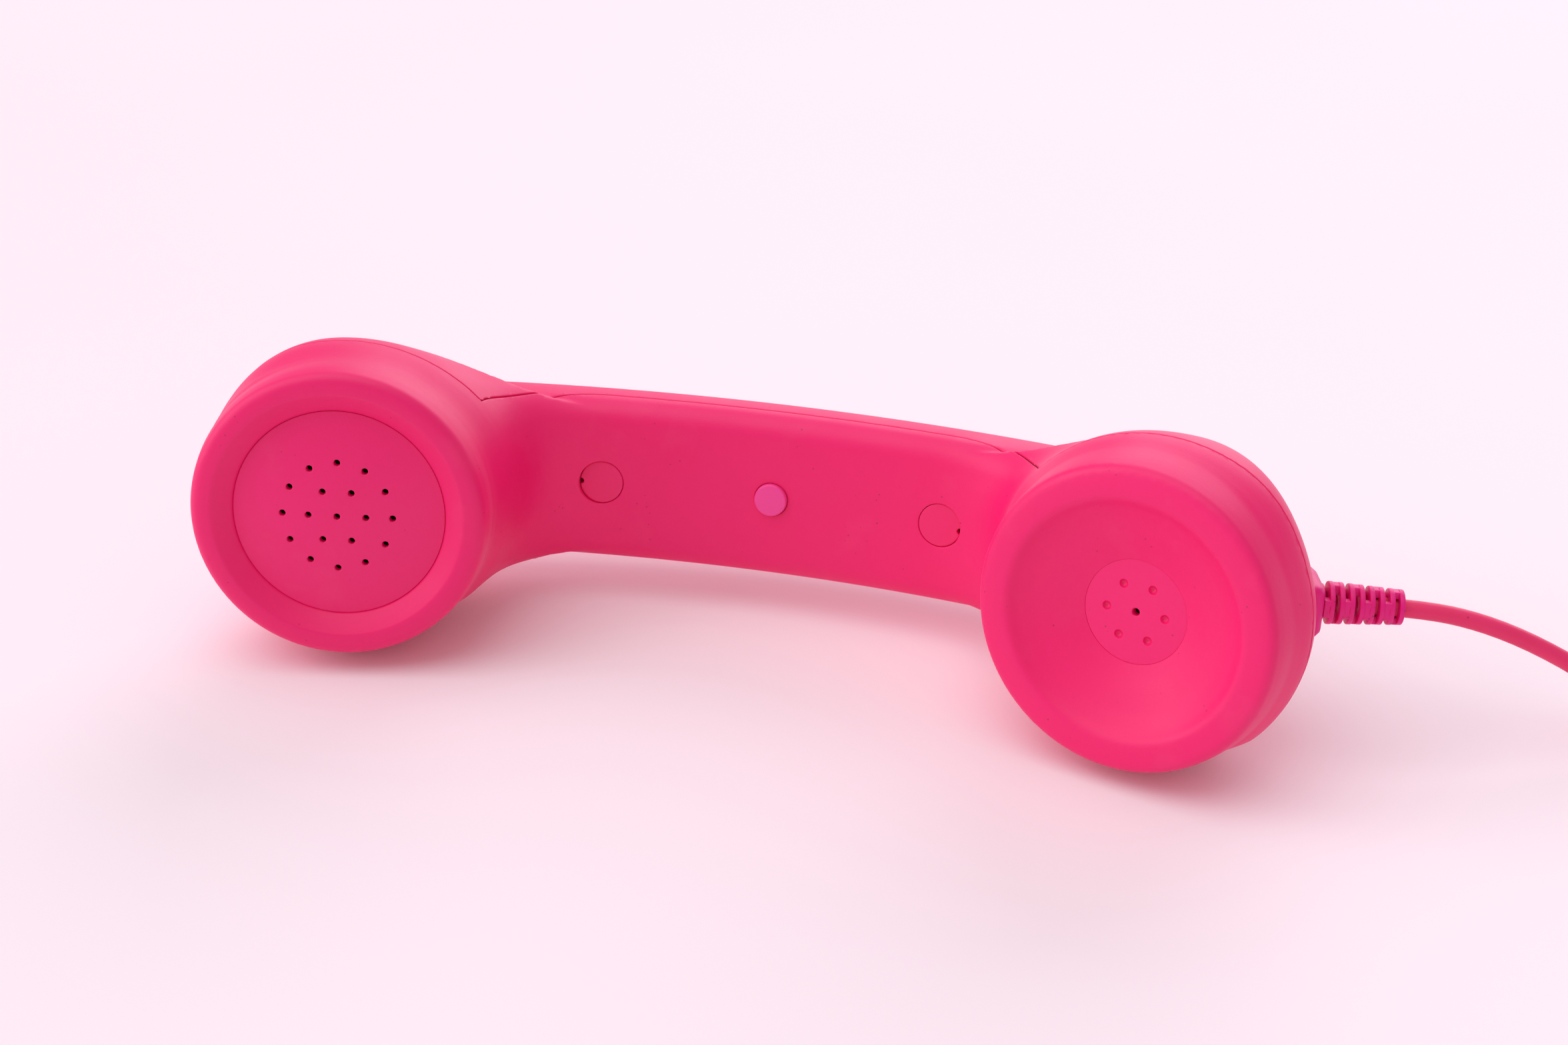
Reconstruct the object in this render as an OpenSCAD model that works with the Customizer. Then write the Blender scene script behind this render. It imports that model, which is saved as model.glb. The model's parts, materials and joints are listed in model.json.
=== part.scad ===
// Retro telephone handset with a round cord and a four-pole jack plug.
// Built in a handset frame: X from earpiece to mouthpiece, Y to the back of
// the handle, Z across the width. posed() lays it on its side on the floor.

/* [Handset] */
// Distance between the centres of the two cup faces
cup_span = 152.8; // [151:0.1:155]
// Inward tilt of the earpiece axis, degrees
ear_tilt = 11.2; // [10:0.1:13]
// Inward tilt of the mouthpiece axis, degrees
mouth_tilt = 19.3; // [18:0.1:21]
// Thickness of the plastic walls
wall = 2.2; // [1.8:0.1:2.6]
// Depth of the seam behind the inner face of the handle
seam_depth = 5.2; // [4.6:0.1:6.2]

/* [Handle] */
// Radius of the arched inner face
arch_r = 240; // [235:1:250]
// Width of the handle
grip_w = 34; // [32:0.5:36]
// Thickness of the handle from inner face to back
grip_t = 18; // [17:0.5:20]
// Radius of the front corners of the handle section
grip_front_r = 5; // [4:0.5:6]
// Radius of the rear corners of the handle section
grip_rear_r = 8; // [7:0.5:8.5]
// Radius of the fillets that run from the handle into the cups
neck_r = 18; // [16:0.5:19]
// Outer radius of the turned-down ends of the handle back
tail_r = 42; // [38:1:46]

/* [Earpiece] */
// Radius of the earpiece disc
ear_disc_r = 20.4; // [19.5:0.1:21]
// Height of the dome of the earpiece disc
ear_dome = 2.2; // [1.6:0.1:2.6]
// Outer radius at the seam
ear_seam_r = 29.8; // [29.5:0.1:30.2]
// Diameter of the sound holes
ear_hole_d = 1.3; // [1:0.1:1.6]

/* [Mouthpiece] */
// Radius of the small disc at the bottom of the dish
mouth_disc_r = 9.9; // [9.4:0.1:10.4]
// Radius of the dish edge
dish_r = 22.9; // [22:0.1:23.4]
// Depth of the dish
dish_deep = 6.4; // [5.8:0.1:6.8]
// Outer radius at the seam
mouth_seam_r = 30.4; // [30:0.1:30.8]
// Diameter of the dimples around the centre hole
dimple_d = 1.6; // [1.2:0.1:1.9]

/* [Button and caps] */
// Diameter of the call button
button_d = 6.8; // [6:0.1:7.4]
// Height of the button above the handle
button_up = 1.0; // [0.7:0.1:1.3]
// Diameter of the screw caps
cap_d = 8.8; // [8.2:0.1:9.2]

/* [Cord] */
// Diameter of the cord
cord_d = 3.4; // [3.2:0.1:3.6]
// Number of rings on the strain relief
relief_rings = 8; // [6:1:9]
// Spacing of the rings
relief_pitch = 1.84; // [1.6:0.02:2]
// Mean radius of the outer track of the coil
coil_r = 22.9; // [22.5:0.1:23.4]

/* [Hidden] */
$fn = 72;
e = 0.01;
// pose on the floor
lean = 10;
pitch = 0.414;
lift = 31.87;
shift_x = -7.6;
shift_y = -20.36;
// frames
ear_c = [-cup_span / 2, 0];
mouth_c = [cup_span / 2, 0];
ear_b = [-sin(ear_tilt), cos(ear_tilt)];
ear_u = [cos(ear_tilt), sin(ear_tilt)];
mouth_b = [sin(mouth_tilt), cos(mouth_tilt)];
mouth_u = [cos(mouth_tilt), -sin(mouth_tilt)];
arch_c = [-5.9, 38.5 - arch_r];
grip_h = grip_w / 2;
grip_back_r = 40;
// angles round the centre of the arch, from the +X direction
cap_a1 = 90 + asin((34.85 - 5.9) / arch_r);
cap_a2 = 90 - asin((35.2 + 5.9) / arch_r);
button_a = 90 - asin(6.1 / arch_r);
tail_a1 = 101;
tail_a2 = 77.2;
tail_c1 = arch_c + (arch_r + grip_t - tail_r) * [cos(tail_a1), sin(tail_a1)];
tail_c2 = arch_c + (arch_r + grip_t - tail_r) * [cos(tail_a2), sin(tail_a2)];
// fillet centres: at neck_r from the cup wall and from the inner face
ear_wall_r = 29.1;
mouth_wall_r = 29.9;
neck_c1 = neck_centre(ear_c, ear_u, ear_b, ear_wall_r + neck_r);
neck_c2 = neck_centre(mouth_c, mouth_u, mouth_b, -mouth_wall_r - neck_r);
neck_a1 = dir_of(neck_c1 - arch_c);
neck_a2 = dir_of(neck_c2 - arch_c);
ear_seam_d = 16.5;
mouth_seam_d = 8;
// insides
screw_top = 1.8;
boss_end = 8;
board_t = 6.3;
switch_t = 4.1;
grille_t = 1.6;
speaker_r = 19.9;
weight_t = 4;
ear_weight_d = 10.4;
mouth_weight_d = 8.6;
boss_r = 2.6;
boss_at = 22.9;
mouth_boss_at = 21;
// strain relief axis in the handset frame
relief_start = [104.6, 16.6, 0];
relief_dir = 9.5;
relief_neck = 5.5;
relief_core = cord_d / 2 + 0.05;
// floor route of the cord, in the floor frame before the shift
coil_x = 200;
coil_y = 9;
coil_gap = cord_d;
plug_x = 231;
plug_y = coil_y + coil_r + 1.4;
plug_z = 3.6;

function dot2(a, b) = a[0] * b[0] + a[1] * b[1];
function dir_of(v) = atan2(v[1], v[0]);
function neck_centre(c, u, b, w) =
    let (p = c + u * w - arch_c, k = dot2(p, b), rr = arch_r - neck_r)
    c + u * w + b * (-k + sqrt(k * k - dot2(p, p) + rr * rr));
function arc_pts(cx, cy, r, a0, a1, n) =
    [for (i = [0:n]) let (a = a0 + (a1 - a0) * i / n) [cx + r * cos(a), cy + r * sin(a)]];

// ---- placing -------------------------------------------------------------
module posed() {
    translate([shift_x, shift_y, lift]) rotate([-lean, pitch, 0]) children();
}
module at_ear() {
    translate([ear_c[0], ear_c[1], 0]) rotate([0, 0, ear_tilt]) rotate([-90, 0, 0]) children();
}
module at_mouth() {
    translate([mouth_c[0], mouth_c[1], 0]) rotate([0, 0, -mouth_tilt]) rotate([-90, 0, 0]) children();
}
// local Z points into the handle, zero on the inner face
module at_arch(a) {
    translate([arch_c[0], arch_c[1], 0]) rotate([0, 0, a - 90]) translate([0, arch_r, 0])
        rotate([-90, 0, 0]) children();
}
module at_relief() {
    translate(relief_start) rotate([0, 0, relief_dir]) rotate([0, 90, 0]) children();
}

// ---- outlines ------------------------------------------------------------
// handle section: X is depth behind the inner face, g insets it, k rounds it more
module grip_section(g, k = 0) {
    h = grip_h - g;
    rf = grip_front_r - g + k;
    rb = grip_rear_r - g + k;
    intersection() {
        union() {
            translate([g + rf, -h]) square([grip_t - 2 * g - rf - rb, 2 * h]);
            translate([g, -(h - rf)]) square([rf + 1, 2 * (h - rf)]);
            translate([grip_t - g - rb - 1, -(h - rb)]) square([rb + 1, 2 * (h - rb)]);
            for (s = [-1, 1]) {
                translate([g + rf, s * (h - rf)]) circle(r = rf);
                translate([grip_t - g - rb, s * (h - rb)]) circle(r = rb);
            }
        }
        translate([grip_t - grip_back_r, 0]) circle(r = grip_back_r - g);
    }
}
// front part of the section, for the fillets
module neck_section(g) {
    intersection() {
        grip_section(g, 0.25);
        translate([g - 1, -grip_w]) square([12 - g + 1, 2 * grip_w]);
    }
}
function ear_outline(g) = concat(
    [[0, -2.6 + g], [24.3, -2.6 + g]],
    arc_pts(25.1, 0.6, 3.2 - g, -90, 0, 6),
    [[ear_seam_r - g, 18], [29.3 - g, 20.5], [27.4 - g * 0.9, 24 - g * 0.4], [24.6 - g * 0.7, 28 - g * 0.7],
     [20.5 - g * 0.6, 32.5 - g * 0.8], [15 - g * 0.4, 36 - g * 0.9], [8, 38.3 - g], [0, 39 - g]]
);
function mouth_outline(g) = concat(
    [[0, -dish_deep + g], [dish_r, -dish_deep + g]],
    arc_pts(25.3, 3.8 - dish_deep, 3.8 - g, -90, 0, 6),
    [[mouth_seam_r - g, 8], [29.4 - g, 12], [28 - g * 0.9, 15 - g * 0.4], [25.8 - g * 0.8, 18.8 - g * 0.5],
     [23.5 - g * 0.8, 22 - g * 0.6], [21.3 - g * 0.75, 25 - g * 0.65], [18.8 - g * 0.7, 28 - g * 0.7],
     [14 - g * 0.5, 31.6 - g * 0.85], [8, 34.2 - g], [0, 35.4 - g]]
);
// everything in front of the seam, as a flat region
module front_region() {
    intersection() {
        translate(arch_c) circle(r = arch_r + seam_depth);
        translate(arch_c) polygon([
            [0, 0],
            400 * [cos(neck_a2), sin(neck_a2)],
            400 * [cos(neck_a1), sin(neck_a1)]
        ]);
    }
    translate(neck_c1) circle(r = neck_r + seam_depth);
    translate(neck_c2) circle(r = neck_r + seam_depth);
    translate(ear_c) rotate(ear_tilt) translate([-45, -30]) square([45 + 46, 30 + ear_seam_d]);
    translate(mouth_c) rotate(-mouth_tilt) translate([-46, -30]) square([45 + 46, 30 + mouth_seam_d]);
}
module front_prism() {
    translate([0, 0, -40]) linear_extrude(80) front_region();
}

// ---- body ----------------------------------------------------------------
// handle, fillets and turned-down ends; g insets every face. Each piece sits a
// little inside the one it grows from, so that no two faces are tangent.
module grip_body(g) {
    sweep(arch_c, tail_a2, tail_a1) translate([arch_r, 0]) grip_section(g);
    sweep(tail_c1, tail_a1 - 2, tail_a1 + 62) translate([tail_r - grip_t, 0]) grip_section(g + 0.12, 0.3);
    sweep(tail_c2, tail_a2 - 62, tail_a2 + 2) translate([tail_r - grip_t, 0]) grip_section(g + 0.12, 0.3);
    sweep(neck_c1, neck_a1 - 4, 190 + ear_tilt) translate([neck_r, 0]) neck_section(g + 0.22);
    sweep(neck_c2, -10 - mouth_tilt, neck_a2 + 4) translate([neck_r, 0]) neck_section(g + 0.22);
}
module sweep(c, a0, a1) {
    translate([c[0], c[1], 0]) rotate([0, 0, a0]) rotate_extrude(angle = a1 - a0) children();
}
module ear_body(g) {
    at_ear() rotate_extrude() polygon(ear_outline(g));
}
module mouth_body(g) {
    at_mouth() rotate_extrude() polygon(mouth_outline(g));
}
// the hollow behind the cup faces
module ear_hollow() {
    at_ear() rotate_extrude() intersection() {
        polygon(ear_outline(wall));
        translate([0, 3.2]) square([40, 60]);
    }
}
module mouth_hollow() {
    at_mouth() rotate_extrude() difference() {
        polygon(mouth_outline(wall));
        polygon([[0, -20], [40, -20], [40, -dish_deep + 3], [dish_r + 2.2, -dish_deep + 3],
            [dish_r - 0.6, -dish_deep + 3.2], [mouth_disc_r + 6.4, -0.2], [mouth_disc_r + 0.4, 2.7],
            [mouth_disc_r, 3], [0, 3]]);
    }
}
module shell() {
    difference() {
        union() {
            grip_body(0);
            ear_body(0);
            mouth_body(0);
        }
        grip_body(wall);
        ear_hollow();
        mouth_hollow();
    }
}
// recess in the ear face: seat of the disc and the sloping rim inside
module ear_recess() {
    at_ear() rotate_extrude() polygon([[0, -6], [24.3 + 3.4 * 1.5, -6], [24.3, -2.6], [ear_disc_r, 0],
        [ear_disc_r, grille_t], [18.4, grille_t], [18.4, 3.2 + 1], [0, 3.2 + 1]]);
}
module mouth_recess() {
    at_mouth() rotate_extrude() polygon([[0, -12], [dish_r + 3, -12], [dish_r, -dish_deep],
        [18.6, -dish_deep + 2.6], [14.2, -1.75], [mouth_disc_r, 0], [mouth_disc_r, 1.8], [8.4, 1.8],
        [8.4, 4], [0, 4]]);
}

module front_shell() {
    color([0.93, 0.20, 0.47]) posed() difference() {
        union() {
            intersection() {
                shell();
                front_prism();
            }
            // screw bosses
            for (a = [cap_a1, cap_a2]) at_arch(a) translate([0, 0, 1]) cylinder(r = 5.4, h = boss_end - 1);
            // board posts
            for (x = [-20, 20]) at_arch(button_a) translate([x, 0, 0.8])
                cylinder(r = 2.2, h = board_t - 0.8);
            // speaker collar and weight bosses
            at_ear() {
                difference() {
                    translate([0, 0, 2.2]) cylinder(r = speaker_r + 1.7, h = 6.2);
                    translate([0, 0, 0]) cylinder(r = speaker_r + 0.05, h = 20);
                }
                for (i = [0:2]) rotate(i * 120 + 30) translate([boss_at, 0, 2.2])
                    cylinder(r = boss_r, h = ear_weight_d - 2.2);
            }
            at_mouth() {
                translate([0, 0, 1.8]) difference() {
                    cylinder(r = 10.2, h = mouth_weight_d - 0.6 - 1.8);
                    translate([0, 0, -1]) cylinder(r = 8.4, h = 20);
                }
                for (i = [0:2]) rotate(i * 120 + 30) translate([mouth_boss_at, 0, -1.6])
                    cylinder(r = boss_r, h = mouth_weight_d + 1.6);
            }
        }
        ear_recess();
        mouth_recess();
        for (a = [cap_a1, cap_a2]) at_arch(a) {
            translate([0, 0, -3]) cylinder(d = cap_d + 0.1, h = 3 + screw_top);
            translate([0, 0, 0]) cylinder(r = 3.1, h = screw_top + 2.4);
            cylinder(r = 1.6, h = 20);
        }
        at_arch(button_a) {
            translate([0, 0, -4]) cylinder(d = button_d + 0.1, h = 10);
            for (x = [-20, 20]) translate([x, 0, 3]) cylinder(r = 0.8, h = 5);
        }
        at_ear() for (i = [0:2]) rotate(i * 120 + 30) translate([boss_at, 0, 4.4]) cylinder(r = 1.1, h = 8);
        at_mouth() for (i = [0:2]) rotate(i * 120 + 30) translate([mouth_boss_at, 0, 2.6])
            cylinder(r = 1.1, h = 8);
    }
}

module rear_shell() {
    color([0.91, 0.19, 0.45]) posed() difference() {
        union() {
            difference() {
                shell();
                front_prism();
            }
            for (a = [cap_a1, cap_a2]) at_arch(a) translate([0, 0, boss_end])
                cylinder(r = 4.2, h = grip_t - boss_end - 1);
        }
        for (a = [cap_a1, cap_a2]) at_arch(a) cylinder(r = 1.45, h = 14.4);
        at_relief() translate([0, 0, -12]) cylinder(r = 3.5, h = 24);
        at_relief() translate([0, 0, 0]) relief_flange(0.05);
    }
}

// ---- earpiece ------------------------------------------------------------
module ear_grille() {
    rs = (ear_disc_r * ear_disc_r + ear_dome * ear_dome) / (2 * ear_dome);
    r = ear_disc_r - 0.1;
    a = asin(r / rs);
    color([0.90, 0.17, 0.42]) posed() at_ear() difference() {
        rotate_extrude() polygon(concat(
            [[0, rs - ear_dome - rs]],
            [for (i = [1:8]) [rs * sin(a * i / 8), rs - ear_dome - rs * cos(a * i / 8)]],
            [[r, grille_t], [r - 2.2, grille_t], [12, 0.7], [0, -0.2]]));
        translate([0, 0, -5]) cylinder(d = ear_hole_d, h = 10);
        for (i = [0:5]) rotate(i * 60) translate([5.55, 0, -5]) cylinder(d = ear_hole_d, h = 10);
        for (i = [0:11]) rotate(i * 30) translate([10.62, 0, -5]) cylinder(d = ear_hole_d, h = 10);
    }
}
module ear_mesh() {
    color([0.06, 0.06, 0.06]) posed() at_ear() translate([0, 0, grille_t]) cylinder(r = 18.35, h = 0.3);
}
module speaker_gasket() {
    color([0.08, 0.08, 0.08]) posed() at_ear() translate([0, 0, 3.2]) difference() {
        cylinder(r = speaker_r, h = 1);
        translate([0, 0, -1]) cylinder(r = 17.6, h = 3);
    }
}
module speaker_frame() {
    color([0.45, 0.46, 0.48]) posed() at_ear() difference() {
        rotate_extrude() polygon([[17.8, 4.2], [speaker_r, 4.2], [speaker_r, 5.4], [18.6, 5.6], [13.2, 9.2],
            [13.2, ear_weight_d], [6.2, ear_weight_d], [6.2, 9.4], [12, 8.6], [17.4, 5.2]]);
        for (i = [0:5]) rotate(i * 60) translate([12.8, -2.2, 5.9]) cube([4, 4.4, 2.4]);
    }
}
module speaker_cone() {
    color([0.12, 0.11, 0.11]) posed() at_ear() rotate_extrude() polygon([[17.3, 4.6], [17.3, 4.9],
        [16.2, 4.3], [15, 4.9], [6, 7.4], [3.4, 6.2], [0, 5.6], [0, 5.35], [3.5, 5.9], [6, 7.1], [14.9, 4.6],
        [16.2, 4.0]]);
}
module speaker_magnet() {
    color([0.62, 0.63, 0.65]) posed() at_ear() {
        translate([0, 0, ear_weight_d]) cylinder(r = 9.8, h = 3.6);
        translate([0, 0, 8.2]) cylinder(r = 5.6, h = ear_weight_d - 8.2);
        translate([0, 0, ear_weight_d + 3.6]) cylinder(r = 10.2, h = 1);
    }
}
module weight_ring(ro, ri, at, holes) {
    difference() {
        translate([0, 0, at]) cylinder(r = ro, h = weight_t);
        translate([0, 0, at - 1]) cylinder(r = ri, h = weight_t + 2);
        for (i = [0:2]) rotate(i * 120 + 30) translate([holes, 0, at - 1])
            cylinder(r = 1.35, h = weight_t + 2);
    }
}
module ear_weight() {
    color([0.55, 0.56, 0.58]) posed() at_ear() weight_ring(25.6, 10.6, ear_weight_d, boss_at);
}

// ---- mouthpiece ----------------------------------------------------------
module mouth_grille() {
    color([0.92, 0.20, 0.46]) posed() at_mouth() difference() {
        cylinder(r = mouth_disc_r - 0.08, h = 1.8);
        translate([0, 0, -1]) cylinder(d = 1.5, h = 4);
        for (i = [0:5]) rotate(i * 60) translate([5.66, 0, -1]) cylinder(d = dimple_d, h = 1.6);
    }
}
module mic_boot() {
    color([0.1, 0.1, 0.1]) posed() at_mouth() difference() {
        translate([0, 0, 1.8]) cylinder(r = 8.38, h = 6);
        translate([0, 0, 2.6]) cylinder(r = 4.85, h = 8);
        translate([0, 0, 0]) cylinder(r = 2.4, h = 8);
    }
}
module mic_capsule() {
    color([0.7, 0.7, 0.72]) posed() at_mouth() difference() {
        translate([0, 0, 2.6]) cylinder(r = 4.84, h = 5.2);
        for (x = [-2, 2]) translate([x, 0, 7.2]) cylinder(r = 0.6, h = 1);
        translate([0, 0, 2]) cylinder(r = 0.9, h = 0.9);
    }
}
module mic_felt() {
    color([0.07, 0.07, 0.07]) posed() at_mouth() translate([0, 0, 1.8]) cylinder(r = 2.38, h = 0.8);
}
module mouth_weight() {
    color([0.55, 0.56, 0.58]) posed() at_mouth() weight_ring(24.4, 11, mouth_weight_d, mouth_boss_at);
}
module pan_screw(len, r, head_r, head_h) {
    translate([0, 0, -len]) cylinder(r = r, h = len);
    difference() {
        cylinder(r = head_r, h = head_h);
        translate([-head_r * 0.6, -0.25, head_h * 0.5]) cube([head_r * 1.2, 0.5, head_h]);
        translate([-0.25, -head_r * 0.6, head_h * 0.5]) cube([0.5, head_r * 1.2, head_h]);
    }
}
module weight_screws() {
    color([0.75, 0.75, 0.77]) posed() {
        at_ear() for (i = [0:2]) rotate(i * 120 + 30) translate([boss_at, 0, ear_weight_d + weight_t])
            pan_screw(8, 1.1, 2.2, 1.4);
        at_mouth() for (i = [0:2]) rotate(i * 120 + 30)
            translate([mouth_boss_at, 0, mouth_weight_d + weight_t])
            pan_screw(8, 1.1, 2.2, 1.4);
    }
}

// ---- handle --------------------------------------------------------------
module button() {
    color([0.95, 0.30, 0.58]) posed() at_arch(button_a) {
        translate([0, 0, 0.45 - button_up]) cylinder(d = button_d, h = 2.9 + button_up - 0.45);
        translate([0, 0, -button_up]) cylinder(r1 = button_d / 2 - 0.45, r2 = button_d / 2, h = 0.45);
        translate([0, 0, wall + 0.15]) cylinder(r = 4.5, h = 0.7);
        translate([0, 0, 2.8]) cylinder(r = 1.5, h = switch_t - 0.55 - 2.8);
    }
}
module switch_plunger() {
    color([0.1, 0.1, 0.1]) posed() at_arch(button_a) translate([0, 0, switch_t - 0.55])
        cylinder(r = 1.6, h = 0.9);
}
module switch_body() {
    color([0.75, 0.75, 0.76]) posed() at_arch(button_a) difference() {
        translate([-3, -3, switch_t]) cube([6, 6, board_t - switch_t]);
        translate([0, 0, switch_t - 1]) cylinder(r = 1.65, h = 1.95);
    }
}
module circuit_board() {
    color([0.05, 0.32, 0.16]) posed() at_arch(button_a) difference() {
        union() {
            translate([-24, -8, board_t]) cube([48, 16, 1.2]);
            translate([-16, -4.5, board_t + 1.2]) cube([7, 7, 1.6]);
            translate([9, -5, board_t + 1.2]) cube([4, 3, 1.4]);
            translate([9, 1.5, board_t + 1.2]) cube([3, 5, 2]);
        }
        for (x = [-20, 20]) translate([x, 0, board_t - 1]) cylinder(r = 1, h = 4);
    }
}
module board_screws() {
    color([0.75, 0.75, 0.77]) posed() at_arch(button_a) for (x = [-20, 20]) translate([x, 0, board_t + 1.2])
        pan_screw(4, 0.8, 1.7, 1.1);
}
module body_screws() {
    color([0.72, 0.72, 0.74]) posed() for (a = [cap_a1, cap_a2]) at_arch(a)
        translate([0, 0, screw_top + 2.4])
        mirror([0, 0, 1]) pan_screw(9.6, 1.45, 2.9, 2.1);
}
module screw_caps() {
    color([0.93, 0.21, 0.48]) posed() {
        at_arch(cap_a1) screw_cap(180);
        at_arch(cap_a2) screw_cap(8);
    }
}
module screw_cap(a) {
    difference() {
        union() {
            translate([0, 0, -0.1]) cylinder(r1 = cap_d / 2 - 0.25, r2 = cap_d / 2, h = 0.25);
            translate([0, 0, 0.15]) cylinder(d = cap_d, h = screw_top - 0.15 - 0.05);
        }
        rotate(a) translate([cap_d / 2 - 0.1, 0, -1]) cylinder(d = 1.3, h = 2);
    }
}

// ---- strain relief and cord ----------------------------------------------
module relief_flange(g) {
    translate([0, 0, -g]) intersection() {
        translate([-5 - g, -6.6 - g, 0]) cube([10 + 2 * g, 13.2 + 2 * g, 4 + g]);
        cylinder(r = 7.4 + g, h = 4 + g);
    }
}
module strain_relief() {
    color([0.86, 0.06, 0.46]) posed() at_relief() difference() {
        union() {
            relief_flange(0);
            translate([0, 0, -6]) cylinder(r = 3.45, h = 10);
            translate([0, 0, -8]) cylinder(r = 4.4, h = 2);
            for (i = [0:relief_rings - 1]) translate([0, 0, relief_neck + i * relief_pitch])
                cylinder(r = relief_r(i), h = relief_pitch * 0.6);
            for (i = [0:relief_rings - 1]) translate([0, 0, relief_neck + (i - 0.4) * relief_pitch - e])
                rotate(i % 2 == 0 ? 0 : 90) for (s = [-1, 1])
                    translate([s * (relief_core + 0.9) - 0.9, -1.4, 0])
                        cube([1.8, 2.8, relief_pitch * 0.4 + 2 * e]);
            translate([0, 0, 4 - e]) cylinder(r = 3.9, h = relief_neck - 0.4 * relief_pitch - 4 + e);
        }
        translate([0, 0, -10]) cylinder(r = relief_core, h = 60);
    }
}
function relief_r(i) = 4.0 - 0.7 * i / (relief_rings - 1);
module cord_stop() {
    color([0.8, 0.8, 0.82]) posed() at_relief() translate([0, 0, -12]) difference() {
        cylinder(r = 3.2, h = 4);
        translate([0, 0, -1]) cylinder(r = relief_core, h = 6);
    }
}

function unit3(v) = v / norm(v);
function tangent(p, i) = unit3(p[min(i + 1, len(p) - 1)] - p[max(i - 1, 0)]);
module tube(p, r, sides) {
    n = len(p);
    pts = [for (i = [0:n - 1]) let (t = tangent(p, i), s = unit3(cross(t, [0, 0, 1])), w = cross(s, t))
        for (k = [0:sides - 1])
            p[i] + r * (cos((k + 0.5) * 360 / sides) * s + sin((k + 0.5) * 360 / sides) * w)];
    body = [for (i = [0:n - 2]) for (k = [0:sides - 1])
        [i * sides + k, i * sides + (k + 1) % sides, (i + 1) * sides + (k + 1) % sides,
        (i + 1) * sides + k]];
    polyhedron(points = pts, faces = concat([[for (k = [0:sides - 1]) sides - 1 - k]], body,
        [[for (k = [0:sides - 1]) (n - 1) * sides + k]]), convexity = 4);
}
// centre line from the stop inside the mouthpiece out to the coil, floor frame
cord_in = [
    [92.8, 14.3, 28.8], [100, 15.5, 28.5], [110.1, 17.2, 28.1], [117.3, 18.5, 27.8], [124.8, 19.7, 27.3],
    [130.6, 20.7, 26.7], [136.9, 21.7, 25.3], [145, 23.1, 22.4], [155, 24.8, 17.2], [163, 26.2, 11.8],
    [170, 27.4, 7.4], [177, 28.7, 4.2], [184, 30, 2.3], [191, 31, 1.8], [196, 31.6, cord_d / 2],
    [coil_x, coil_y + coil_r, cord_d / 2]
];
// centre line from the top of the coil to the plug
cord_out = [
    [coil_x, coil_y + coil_r, cord_d * 1.5], [coil_x + 7, coil_y + coil_r + 0.3, cord_d * 1.5 - 0.1],
    [coil_x + 15, coil_y + coil_r + 0.8, 4.6], [coil_x + 23, coil_y + coil_r + 1.2, 4],
    [plug_x, plug_y, plug_z]
];
module cord() {
    color([0.91, 0.30, 0.49]) translate([shift_x, shift_y, 0]) {
        tube(cord_in, cord_d / 2, 8);
        tube(cord_out, cord_d / 2, 8);
    }
}
module cord_coil() {
    ri = coil_r - 3 * coil_gap;
    color([0.91, 0.30, 0.49]) translate([shift_x + coil_x, shift_y + coil_y, 0]) rotate_extrude() {
        translate([ri, 0]) square([coil_r - ri, 2 * cord_d]);
        for (r = [ri, coil_r], j = [0.52, 1.48]) translate([r, cord_d * j]) circle(d = cord_d);
        translate([ri - cord_d / 2 + 0.2, cord_d * 0.55]) square([coil_r - ri + cord_d - 0.4, cord_d * 0.9]);
    }
}
module at_plug() {
    translate([shift_x + plug_x, shift_y + plug_y, plug_z]) rotate([0, 90, 0]) children();
}
module plug_body() {
    color([0.86, 0.06, 0.46]) at_plug() difference() {
        union() {
            cylinder(r1 = 2.4, r2 = 2.9, h = 8);
            translate([0, 0, 8]) cylinder(r = 3.6, h = 15.2);
            translate([0, 0, 23.2]) cylinder(r1 = 3.6, r2 = 2.9, h = 0.8);
        }
        translate([0, 0, 22]) cylinder(r = 1.2, h = 3);
    }
}
module plug_pins() {
    color([0.83, 0.68, 0.38]) at_plug() {
        translate([0, 0, 24]) cylinder(r = 1.75, h = 3.9);
        for (z = [28.4, 31.4]) translate([0, 0, z]) cylinder(r = 1.75, h = 2.5);
        translate([0, 0, 34.4]) cylinder(r1 = 1.75, r2 = 1.75, h = 0.9);
        translate([0, 0, 35.3]) cylinder(r1 = 1.75, r2 = 1.2, h = 0.7);
        translate([0, 0, 36]) cylinder(r1 = 1.2, r2 = 1.6, h = 0.7);
        translate([0, 0, 36.7]) cylinder(r1 = 1.6, r2 = 0.5, h = 1.3);
        translate([0, 0, 22]) cylinder(r = 1.2, h = 13);
    }
}
module plug_rings() {
    color([0.06, 0.06, 0.06]) at_plug() for (z = [27.9, 30.9, 33.9]) translate([0, 0, z]) difference() {
        cylinder(r = 1.74, h = 0.5);
        translate([0, 0, -1]) cylinder(r = 1.2, h = 3);
    }
}

// ---- inner wires ----------------------------------------------------------
module ear_wires() {
    color([0.75, 0.1, 0.1]) posed() for (s = [-1, 1]) tube([
        [-74, 16.6, 3 * s], [-72, 22, 3.4 * s], [-66, 31, 3.6 * s], [-56, 40, 5.5 * s], [-44, 44, 7.5 * s],
        [-34, 46.6, 8.2 * s], [-24, 47.4, 5 * s], [-21.5, 46.2, 3 * s]
    ], 0.55, 6);
}
module mic_wires() {
    color([0.1, 0.1, 0.1]) posed() for (s = [-1, 1]) tube([
        [79.2, 8.2, 2 * s], [79.8, 14, 2.4 * s], [76, 24, 3.4 * s], [66, 33, 5 * s], [54, 40, 7 * s],
        [42, 44, 8 * s], [32, 46.2, 7 * s], [22, 47, 4.5 * s], [19, 46.2, 4 * s]
    ], 0.55, 6);
}

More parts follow.
